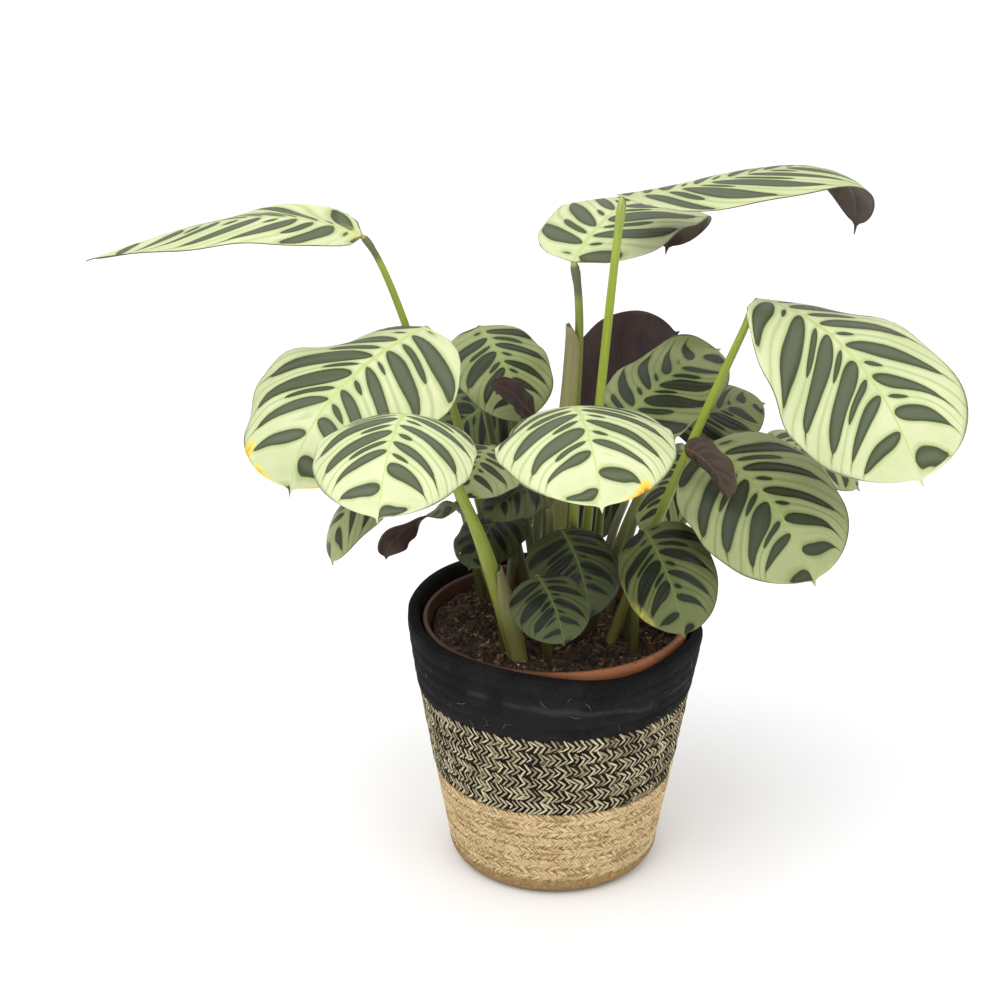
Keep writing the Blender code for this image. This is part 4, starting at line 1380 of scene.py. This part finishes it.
def fibre_material(name, stops, tint_share=0.0, bump_strength=0.5, patch=None, dusty=False):
    r, shader, made = new_material(name)
    place = r.on_object()
    fibre = r.node("ShaderNodeGroup", node_tree=FIBRE)
    r.feed(fibre.inputs["Place"], place)
    share = r.maths("MULTIPLY", fibre.outputs["Mark"], 1.0 - tint_share)
    if tint_share:
        share = r.maths("MULTIPLY_ADD", r.attribute("tint"), tint_share, share)
    colour = r.ramp(share, stops)
    if patch:
        colour = r.blend(natural_patch(r, place), colour, r.ramp(share, patch))
    if dusty:
        dust = pale_crease_and_dust(r, place, fibre.outputs["Dust"])
        # Pale grey along the crease line, and a little dust all over.
        colour = r.blend(dust, colour, rgba((0.11, 0.10, 0.09)))
    grain = fibre.outputs["Grain"]
    height = r.maths("ADD", fibre.outputs["Mark"], grain)
    dress(r, shader, colour, r.step(grain, 0.3, 0.7, 0.78, 0.95),
          (height, bump_strength, 0.0006), specular=0.12)
    return made


# %% The three colours of fibre
STRAW = ((0.32, (0.28, 0.17, 0.07)), (0.39, (0.60, 0.43, 0.22)), (0.55, (0.74, 0.56, 0.31)),
         (0.70, (0.90, 0.75, 0.49)))
# The core shows only in the grooves between strands and rows; its straw is darker than the strands'
# as painted shade in those grooves.
STRAW_CORE_SHADE = ((0.25, (0.14, 0.085, 0.035)), (0.5, (0.32, 0.21, 0.09)), (0.8, (0.52, 0.37, 0.18)))
MIX = ((0.38, (0.010, 0.008, 0.007)), (0.47, (0.050, 0.037, 0.024)),
       (0.52, (0.32, 0.265, 0.155)), (0.80, (0.70, 0.62, 0.41)))
MIX_CORE = ((0.3, (0.010, 0.008, 0.006)), (0.6, (0.035, 0.025, 0.016)), (0.8, (0.10, 0.08, 0.05)))
BLACK = ((0.3, (0.004, 0.004, 0.0045)), (0.6, (0.007, 0.007, 0.0075)),
         (0.85, (0.016, 0.016, 0.017)))
NATURAL_STRAND = fibre_material("natural_strand", STRAW, tint_share=0.24, bump_strength=0.6)
NATURAL_CORE_SHADE = fibre_material("natural_core", STRAW_CORE_SHADE, bump_strength=0.5)
MIXED_STRAND = fibre_material("mixed_strand", MIX, tint_share=0.62, bump_strength=0.6, patch=STRAW)
MIXED_CORE = fibre_material("mixed_core", MIX_CORE, bump_strength=0.5, patch=STRAW_CORE_SHADE)
BLACK_FIBRE = fibre_material("black_cloth", BLACK, bump_strength=0.6, dusty=True)
print("fibre materials: 5, on one group of", len(FIBRE.nodes), "nodes")

# %% [markdown]
# ## The three bands
#
# Each band is now put together. The core of a woven band is turned from its rows, and
# the tree lays the strands over it. The natural band also has the rounded foot and the
# basket's floor, and the black one ends in the soft rim.

# %% Natural band
NATURAL_ROWS = 6
STRAND_INSET = 0.75
FOOT_STEPS = 12
FOOT_CLEAR = 0.4


def make_band_plait(name, node, slot, ends, rows, finish, sink, plump, pitch, seed):
    """The strands of a band: ends are its top and its bottom, pitch the way between arrows."""
    top, bottom = ends
    arrow = make_arrow(name + "_arrow", (top - bottom) / rows, pitch, sink, plump)
    guides = row_guides(name + "_guides", top, bottom, rows, STRAND_INSET)
    made = grown(name, guides, PLAIT, arrow=arrow, pitch=pitch * MM, seed=seed,
                 material=finish)
    bpy.data.objects.remove(arrow, do_unlink=True)
    finish_piece(made, slot, node)


def make_natural_band():
    profile = [(0, BASKET_FLOOR)]
    profile += band_inner(BASKET_FLOOR, NATURAL_TOP)
    profile += rounded_rows(NATURAL_TOP, FOOT_RADIUS, NATURAL_ROWS, depth=0.25, inset=0.65)
    centre = FOOT_WALL_RADIUS - FOOT_RADIUS
    for i in range(1, FOOT_STEPS + 1):
        angle = i * math.pi / 2 / FOOT_STEPS
        profile.append((centre + (FOOT_RADIUS - FOOT_CLEAR) * math.cos(angle),
                        FOOT_RADIUS - FOOT_RADIUS * math.sin(angle)))
    profile.append((0, 0))
    core = turned_object("basket_natural_core", profile)
    core.data.materials.append(NATURAL_CORE_SHADE)
    finish_piece(core, "natural_fibre", "basket_natural_band")
    make_band_plait("basket_natural_plait", "basket_natural_band", "natural_fibre",
                    (NATURAL_TOP, FOOT_RADIUS), NATURAL_ROWS, NATURAL_STRAND,
                    sink=0.12, plump=0.40, pitch=0.85, seed=11)


make_natural_band()

# %% Mixed band
MIXED_ROWS = 6


def make_mixed_band():
    bottom = NATURAL_TOP + GAP
    profile = rounded_rows(MIXED_TOP, bottom, MIXED_ROWS, depth=0.5, inset=0.9)
    profile += band_inner(bottom, MIXED_TOP)
    core = turned_object("basket_mixed_core", profile)
    core.data.materials.append(MIXED_CORE)
    finish_piece(core, "mixed_fibre", "basket_mixed_band")
    make_band_plait("basket_mixed_plait", "basket_mixed_band", "mixed_fibre",
                    (MIXED_TOP, bottom), MIXED_ROWS, MIXED_STRAND,
                    sink=0.45, plump=0.62, pitch=1.40, seed=23)


make_mixed_band()

# %% Black band
BLACK_ROWS = 5
RIM_ROUND = 2.0
RIM_STEPS = 8
RIM_SHIFT = 0.4
RIM_CLEAR = 0.2


def make_black_band():
    bottom = MIXED_TOP + GAP
    top = RIM_HEIGHT - RIM_ROUND
    profile = rounded_rows(top, bottom, BLACK_ROWS, depth=0.7)
    profile += band_inner(bottom, top)
    middle = RIM_RADIUS - BASKET_WALL / 2 - RIM_SHIFT
    for i in range(1, RIM_STEPS):
        angle = math.pi * i / RIM_STEPS
        profile.append((middle - (BASKET_WALL / 2 - RIM_CLEAR) * math.cos(angle),
                        top + RIM_ROUND * math.sin(angle)))
    core = turned_object("basket_black_rows", profile, lift=rim_lift, fold=rim_fold)
    core.data.materials.append(BLACK_FIBRE)
    finish_piece(core, "black_fibre", "basket_black_band")


make_black_band()

# %% [markdown]
# ## The plastic pot
#
# It is thin moulded plastic with a lip, and only the lip shows. It is turned like the
# frame's pot, with more steps, and its drain holes are cut by one Boolean.

# %% Pot shape
POT_BASE_RADIUS = 45.0
POT_LIP_RADIUS = 65.0
POT_TOP = 129.2
POT_NECK_RADIUS = 62.4
POT_NECK = 120.0
POT_WALL = 1.2
POT_FLOOR = 1.5
LIP_ROUND = 0.7
LIP_STEP = 0.8
POT_CHAMFER = 1.0


def pot_outer(z):
    heights = (BASKET_FLOOR + GAP, POT_NECK)
    return float(np.interp(z, heights, (POT_BASE_RADIUS, POT_NECK_RADIUS)))


def pot_profile(bottom, floor):
    """From the floor's middle up the inside, over the lip and down the outside."""
    inner = POT_LIP_RADIUS - POT_WALL
    return [
        (0, floor), (pot_outer(floor) - POT_WALL, floor), (POT_NECK_RADIUS - POT_WALL, POT_NECK),
        (inner - 1.4, POT_TOP - 0.9), (inner - 1.0, POT_TOP - 0.25), (inner - 0.3, POT_TOP),
        (POT_LIP_RADIUS - LIP_ROUND, POT_TOP), (POT_LIP_RADIUS - 0.2, POT_TOP - 0.2),
        (POT_LIP_RADIUS, POT_TOP - LIP_ROUND), (POT_LIP_RADIUS, POT_NECK + LIP_STEP),
        (POT_LIP_RADIUS - LIP_STEP, POT_NECK), (POT_NECK_RADIUS, POT_NECK),
        (pot_outer(bottom + POT_CHAMFER), bottom + POT_CHAMFER),
        (POT_BASE_RADIUS - POT_CHAMFER, bottom), (0, bottom)]


# %% Pot material


def make_terracotta():
    r, shader, made = new_material("terracotta_plastic_finish")
    place = r.on_object()
    cloud = r.noise(place, 60.0, 4.0)
    colour = r.ramp(cloud, ((0.3, (0.25, 0.090, 0.034)), (0.7, (0.34, 0.130, 0.052))))
    dirt = r.noise(place, 420.0, 3.0)
    colour = r.blend(r.step(dirt, 0.58, 0.70, 0.0, 0.6), colour, rgba((0.08, 0.05, 0.03)))
    # The pot is darker towards the left, at negative X.
    darker_on_left = r.maths("ADD", r.split(place)["X"], r.maths("MULTIPLY", cloud, 0.02))
    darker_on_left = r.step(darker_on_left, -0.02, 0.03, 0.85, 0.0)
    colour = r.blend(darker_on_left, colour, rgba((0.050, 0.024, 0.014)))
    dress(r, shader, colour, r.step(cloud, 0.3, 0.7, 0.42, 0.6), (dirt, 0.1, 0.0004), specular=0.3)
    return made


# %% Pot with its drain holes
DRAIN_COUNT = 6
DRAIN_RADIUS = 4.0
DRAIN_CIRCLE = 30.0
DRAIN_SIDES = 24


def drain_cutters(low, high):
    """A closed tube for each drain hole, all in one object."""
    points, faces = [], []
    for k in range(DRAIN_COUNT):
        middle = np.array(around(DRAIN_CIRCLE, 2 * math.pi * k / DRAIN_COUNT, 0.0))
        first = len(points)
        for z in (low, high):
            for i in range(DRAIN_SIDES):
                points.append(middle + around(DRAIN_RADIUS, 2 * math.pi * i / DRAIN_SIDES, z))
        faces += [tuple(first + j for j in face) for face in tube_faces(2, DRAIN_SIDES)]
    return mesh_object("drains", points, faces)


def make_pot():
    bottom = BASKET_FLOOR + GAP
    floor = bottom + POT_FLOOR
    pot = turned_object("nursery_pot_turned", pot_profile(bottom, floor))
    drains = drain_cutters(bottom - 1, floor + 1)
    cut = pot.modifiers.new("drains", "BOOLEAN")
    cut.object = drains
    cut.solver = "EXACT"
    graph = bpy.context.evaluated_depsgraph_get()
    mesh = bpy.data.meshes.new_from_object(pot.evaluated_get(graph), depsgraph=graph)
    made = linked("nursery_pot_shell", mesh)
    for old in (pot, drains):
        bpy.data.objects.remove(old, do_unlink=True)
    mesh.materials.append(make_terracotta())
    finish_piece(made, "terracotta_plastic", "nursery_pot")
    print("pot:", len(mesh.polygons), "faces")


make_pot()

# %% [markdown]
# ## Soil
#
# Potting soil is dark crumbs with threads of coir and a few white grains in it. The
# plug of soil is one lumpy solid, and a scatter tree lays threads and crumbs on its top.

# %% Soil plug
SOIL_TOP = 116.0
SOIL_RINGS = 40
SOIL_STEPS = 128
SOIL_FITTED = 3.0
SOIL_HEAP = 8.0
HEAP_X = 0.90
HEAP_Y = 0.43


def soil_height(x, y):
    """A gently uneven top with lumps, heaped towards the back left."""
    rough = math.sin(0.31 * x + 1.3) * math.cos(0.27 * y + 0.4)
    even = SOIL_TOP + rough + math.sin(0.17 * x - 0.23 * y + 2.1)
    lumps = noise.noise(Vector((x, y, 0.0)) * 0.16) * 1.6
    heaped = SOIL_HEAP * max(0.0, (HEAP_Y * y - HEAP_X * x) / POT_NECK_RADIUS) ** 1.5
    return even + heaped + lumps + noise.noise(Vector((x, y, 5.0)) * 0.45) * 0.9


def make_soil_finish():
    r, shader, made = new_material("soil_finish")
    coarse = r.noise(r.on_object(), 240.0, 6.0, 0.65)
    colour = r.ramp(coarse, ((0.30, (0.012, 0.007, 0.004)), (0.5, (0.045, 0.026, 0.014)),
                             (0.68, (0.13, 0.075, 0.038))))
    dress(r, shader, colour, 0.95, (coarse, 0.9, 0.0015))
    return made


def make_soil():
    bottom = BASKET_FLOOR + 2 * GAP + POT_FLOOR
    edge = pot_outer(SOIL_TOP - SOIL_FITTED) - POT_WALL - GAP
    low = pot_outer(bottom) - POT_WALL - GAP
    angles = [2 * math.pi * i / SOIL_STEPS for i in range(SOIL_STEPS)]
    points = [(0.0, 0.0, soil_height(0, 0))]
    for k in range(1, SOIL_RINGS + 1):
        for angle in angles:
            x, y, _ = around(edge * k / SOIL_RINGS, angle, 0.0)
            points.append((x, y, soil_height(x, y)))
    points += [around(low, angle, bottom) for angle in angles]
    points.append((0.0, 0.0, bottom))
    faces = []
    for i in range(SOIL_STEPS):
        j = (i + 1) % SOIL_STEPS
        faces.append((0, 1 + i, 1 + j))
        for k in range(SOIL_RINGS):
            a = 1 + k * SOIL_STEPS
            b = a + SOIL_STEPS
            faces.append((a + i, b + i, b + j, a + j))
        c = 1 + SOIL_RINGS * SOIL_STEPS
        faces.append((c + i, len(points) - 1, c + j))
    made = mesh_object("soil_plug", points, faces)
    made.data.materials.append(make_soil_finish())
    finish_piece(made, "soil", "soil")
    print("soil:", len(faces), "faces")
    return points, faces


soil_points, soil_faces = make_soil()

# %% [markdown]
# The scatter tree drops small shapes on a surface, each turned by chance about the way
# that the surface faces. The same tree lays the soil's threads, crumbs and grains, and
# the lint on the black band.

# %% Scatter tree


def make_scatter_tree():
    r, given, out = new_tree("scatter", [
        ("Shape", "NodeSocketObject", None), ("Density", FLOAT, 1000.0),
        ("Smallest", FLOAT, 0.6), ("Largest", FLOAT, 1.3), ("Tilt", FLOAT, 0.4),
        ("Seed", "NodeSocketInt", 1), ("Material", "NodeSocketMaterial", None)])
    seed = given.outputs["Seed"]
    spots = r.node("GeometryNodeDistributePointsOnFaces",
                   {"Mesh": given.outputs["Geometry"], "Seed": seed})
    r.feed(next(s for s in spots.inputs if s.name == "Density" and s.enabled),
           given.outputs["Density"])
    lean = r.node("ShaderNodeCombineXYZ", {
        "X": r.maths("MULTIPLY", by_chance(r, -1.0, 1.0, seed, 1), given.outputs["Tilt"]),
        "Y": r.maths("MULTIPLY", by_chance(r, -1.0, 1.0, seed, 2), given.outputs["Tilt"]),
        "Z": by_chance(r, 0.0, 2 * math.pi, seed, 3)})
    turn = r.node("FunctionNodeEulerToRotation", {"Euler": lean.outputs[0]})
    both = r.node("FunctionNodeRotateRotation", rotation_space="LOCAL")
    r.feed(both.inputs[0], spots.outputs["Rotation"])
    r.feed(both.inputs[1], turn.outputs[0])
    shape = r.node("GeometryNodeObjectInfo", {"Object": given.outputs["Shape"]})
    size = by_chance(r, 0.0, 1.0, seed, 4)
    size = r.step(size, 0.0, 1.0, given.outputs["Smallest"], given.outputs["Largest"])
    placed = r.node("GeometryNodeInstanceOnPoints", {
        "Points": spots.outputs["Points"], "Instance": shape.outputs["Geometry"],
        "Rotation": both.outputs[0], "Scale": size})
    finish_tree(r, given, out, placed.outputs[0])
    return r.tree


SCATTER = make_scatter_tree()
print("scatter tree:", len(SCATTER.nodes), "nodes")


# %% Shapes to scatter
THREAD_RINGS = 6
THREAD_SIDES = 4
NEIGHBOURS = 0.2


def thread_shape(name, length, thick, bow):
    """A thin bent thread along X."""
    t = np.linspace(-1, 1, THREAD_RINGS)
    path = np.stack([t * length / 2, bow * np.cos(t * 2.2), bow * 0.4 * np.sin(t * 1.7)], -1)
    radii = thick / 2 * np.sqrt(np.clip(1.06 - t ** 2, 0, 1))
    return mesh_object(name, rings_along(path, radii, THREAD_SIDES),
                       tube_faces(THREAD_RINGS, THREAD_SIDES))


def crumb_shape(name, size, seed):
    """A small uneven lump of twenty faces, each between three neighbouring corners."""
    golden = (1 + 5 ** 0.5) / 2
    corners = []
    for a in (-1, 1):
        for b in (-golden, golden):
            corners += [(0, a, b), (a, b, 0), (b, 0, a)]
    corners = unit(np.array(corners, float))
    chance = np.random.default_rng(seed)
    corners *= size * chance.uniform(0.7, 1.2, (12, 1)) * np.array((1.0, 0.8, 0.7))
    faces = []
    for i in range(12):
        for j in range(i + 1, 12):
            for k in range(j + 1, 12):
                a, b, c = (unit(corners[m]) for m in (i, j, k))
                if min(a @ b, b @ c, a @ c) > NEIGHBOURS:
                    out = np.cross(corners[j] - corners[i], corners[k] - corners[i])
                    faces.append((i, j, k) if out @ corners[i] > 0 else (i, k, j))
    return mesh_object(name, corners, faces, smooth=False)


# %% Litter material


def litter_material(name, stops, roughness):
    r, shader, made = new_material(name)
    mark = r.noise(r.on_object(), 700.0, 2.0)
    share = r.maths("MULTIPLY_ADD", mark, 0.3, r.maths("MULTIPLY", r.attribute("tint"), 0.7))
    dress(r, shader, r.ramp(share, stops), roughness, (mark, 0.4, 0.0004))
    return made


THREAD_FINISH = litter_material("coir_thread", (
    (0.15, (0.025, 0.015, 0.009)), (0.45, (0.075, 0.043, 0.023)), (0.7, (0.16, 0.097, 0.052)),
    (0.9, (0.36, 0.26, 0.16))), 0.9)
CRUMB_FINISH = litter_material("soil_crumb", (
    (0.2, (0.014, 0.009, 0.005)), (0.6, (0.055, 0.030, 0.016)), (0.9, (0.13, 0.075, 0.04))), 0.95)
GRAIN_FINISH = litter_material("white_grain", (
    (0.2, (0.55, 0.52, 0.46)), (0.8, (0.80, 0.78, 0.72))), 0.9)


# %% Threads, crumbs and white grains


def soil_top_copy(name):
    """The soil's top faces as a surface to scatter on, a little in from the pot."""
    inside = 1 + (SOIL_RINGS - 1) * SOIL_STEPS
    return mesh_object(name, soil_points, [f for f in soil_faces if max(f) < inside])


def scatter(name, surface, shape, slot, finish, **values):
    made = grown(name, surface, SCATTER, shape=shape, material=finish, **values)
    bpy.data.objects.remove(shape, do_unlink=True)
    finish_piece(made, slot)


scatter("soil_threads", soil_top_copy("threads_ground"),
        thread_shape("thread", length=4.6, thick=1.5, bow=0.25),
        "soil", THREAD_FINISH, density=100000.0, smallest=0.35, largest=1.5, tilt=0.6, seed=5)
scatter("soil_crumbs", soil_top_copy("crumbs_ground"), crumb_shape("crumb", size=0.9, seed=3),
        "soil", CRUMB_FINISH, density=190000.0, smallest=0.5, largest=1.8, tilt=1.5, seed=9)
scatter("soil_grains", soil_top_copy("grains_ground"), crumb_shape("grain", size=1.0, seed=8),
        "soil", GRAIN_FINISH, density=1300.0, smallest=0.5, largest=1.3, tilt=1.5, seed=14)

# %% [markdown]
# The soft black cloth catches a few grey hairs. The scatter tree lays them on a plain
# ring of faces that stands just outside the band and isn't kept.

# %% Lint on the black band
LINT_FINISH = litter_material("lint", (
    (0.2, (0.10, 0.095, 0.09)), (0.8, (0.24, 0.23, 0.21))), 0.9)
LINT_STEPS = 48
LINT_LOW = MIXED_TOP + 2.0
LINT_HIGH = RIM_HEIGHT - 6.0
LINT_CLEAR = 0.25


def make_lint():
    """A few short grey hairs that lie on the outside of the black band."""
    points, faces = [], []
    for i in range(LINT_STEPS):
        a = 2 * math.pi * i / LINT_STEPS
        for z in (LINT_LOW, LINT_HIGH):
            points.append(around(outer_radius(z) + LINT_CLEAR, a, z))
        j = (i + 1) % LINT_STEPS
        faces.append((2 * i, 2 * j, 2 * j + 1, 2 * i + 1))
    ground = mesh_object("lint_ground", points, faces)
    scatter("basket_lint", ground, thread_shape("hair", length=5.0, thick=0.15, bow=0.35),
            "black_fibre", LINT_FINISH, density=6000.0, smallest=0.4, largest=1.3, tilt=0.1, seed=21)


make_lint()

# %% [markdown]
# ## Floor and light
#
# The photograph was taken on a white ground under broad soft light, a little stronger
# from the upper left.

# %% Floor
FLOOR_HALF = 4000


def make_floor():
    corners = [(x * FLOOR_HALF, y * FLOOR_HALF, 0) for x, y in ((-1, -1), (1, -1), (1, 1), (-1, 1))]
    made = mesh_object("floor", corners, [(0, 1, 2, 3)], smooth=False)
    r, shader, finish = new_material("floor_white")
    dress(r, shader, rgba((0.95, 0.95, 0.95)), 0.9, specular=0.1)
    made.data.materials.append(finish)


make_floor()

# %% Lamps and sky
SKY_SIDES = 0.50
SKY_ABOVE = 1.15
LIT = Vector((0.0, 0.0, 0.2))


def area_light(name, at, size, power):
    """A round lamp that is turned to the middle of the plant."""
    lamp = bpy.data.lights.new(name, "AREA")
    lamp.shape = "DISK"
    lamp.size = size
    lamp.energy = power
    made = linked(name, lamp)
    made.location = at
    made.rotation_euler = (LIT - Vector(at)).to_track_quat("-Z", "Y").to_euler()


def make_world():
    """White light from all round, which grows towards the top."""
    world = bpy.data.worlds.new("studio")
    world.use_nodes = True
    r = Recipe(world.node_tree)
    way = r.node("ShaderNodeTexCoord").outputs["Generated"]
    up = r.maths("MAXIMUM", r.split(way)["Z"], 0.0)
    above = r.maths("MULTIPLY", up, up)
    light = world.node_tree.nodes["Background"]
    light.inputs["Color"].default_value = rgba((1.0, 1.0, 1.0))
    r.feed(light.inputs["Strength"], r.maths("MULTIPLY_ADD", above, SKY_ABOVE, SKY_SIDES))
    bpy.context.scene.world = world


make_world()
area_light("key", at=(-0.9, -0.9, 1.7), size=2.0, power=17.0)
area_light("fill", at=(1.2, -1.2, 1.0), size=1.6, power=6.0)
bpy.context.scene.view_settings.view_transform = "Standard"
print("lamps: 2, and the sky")
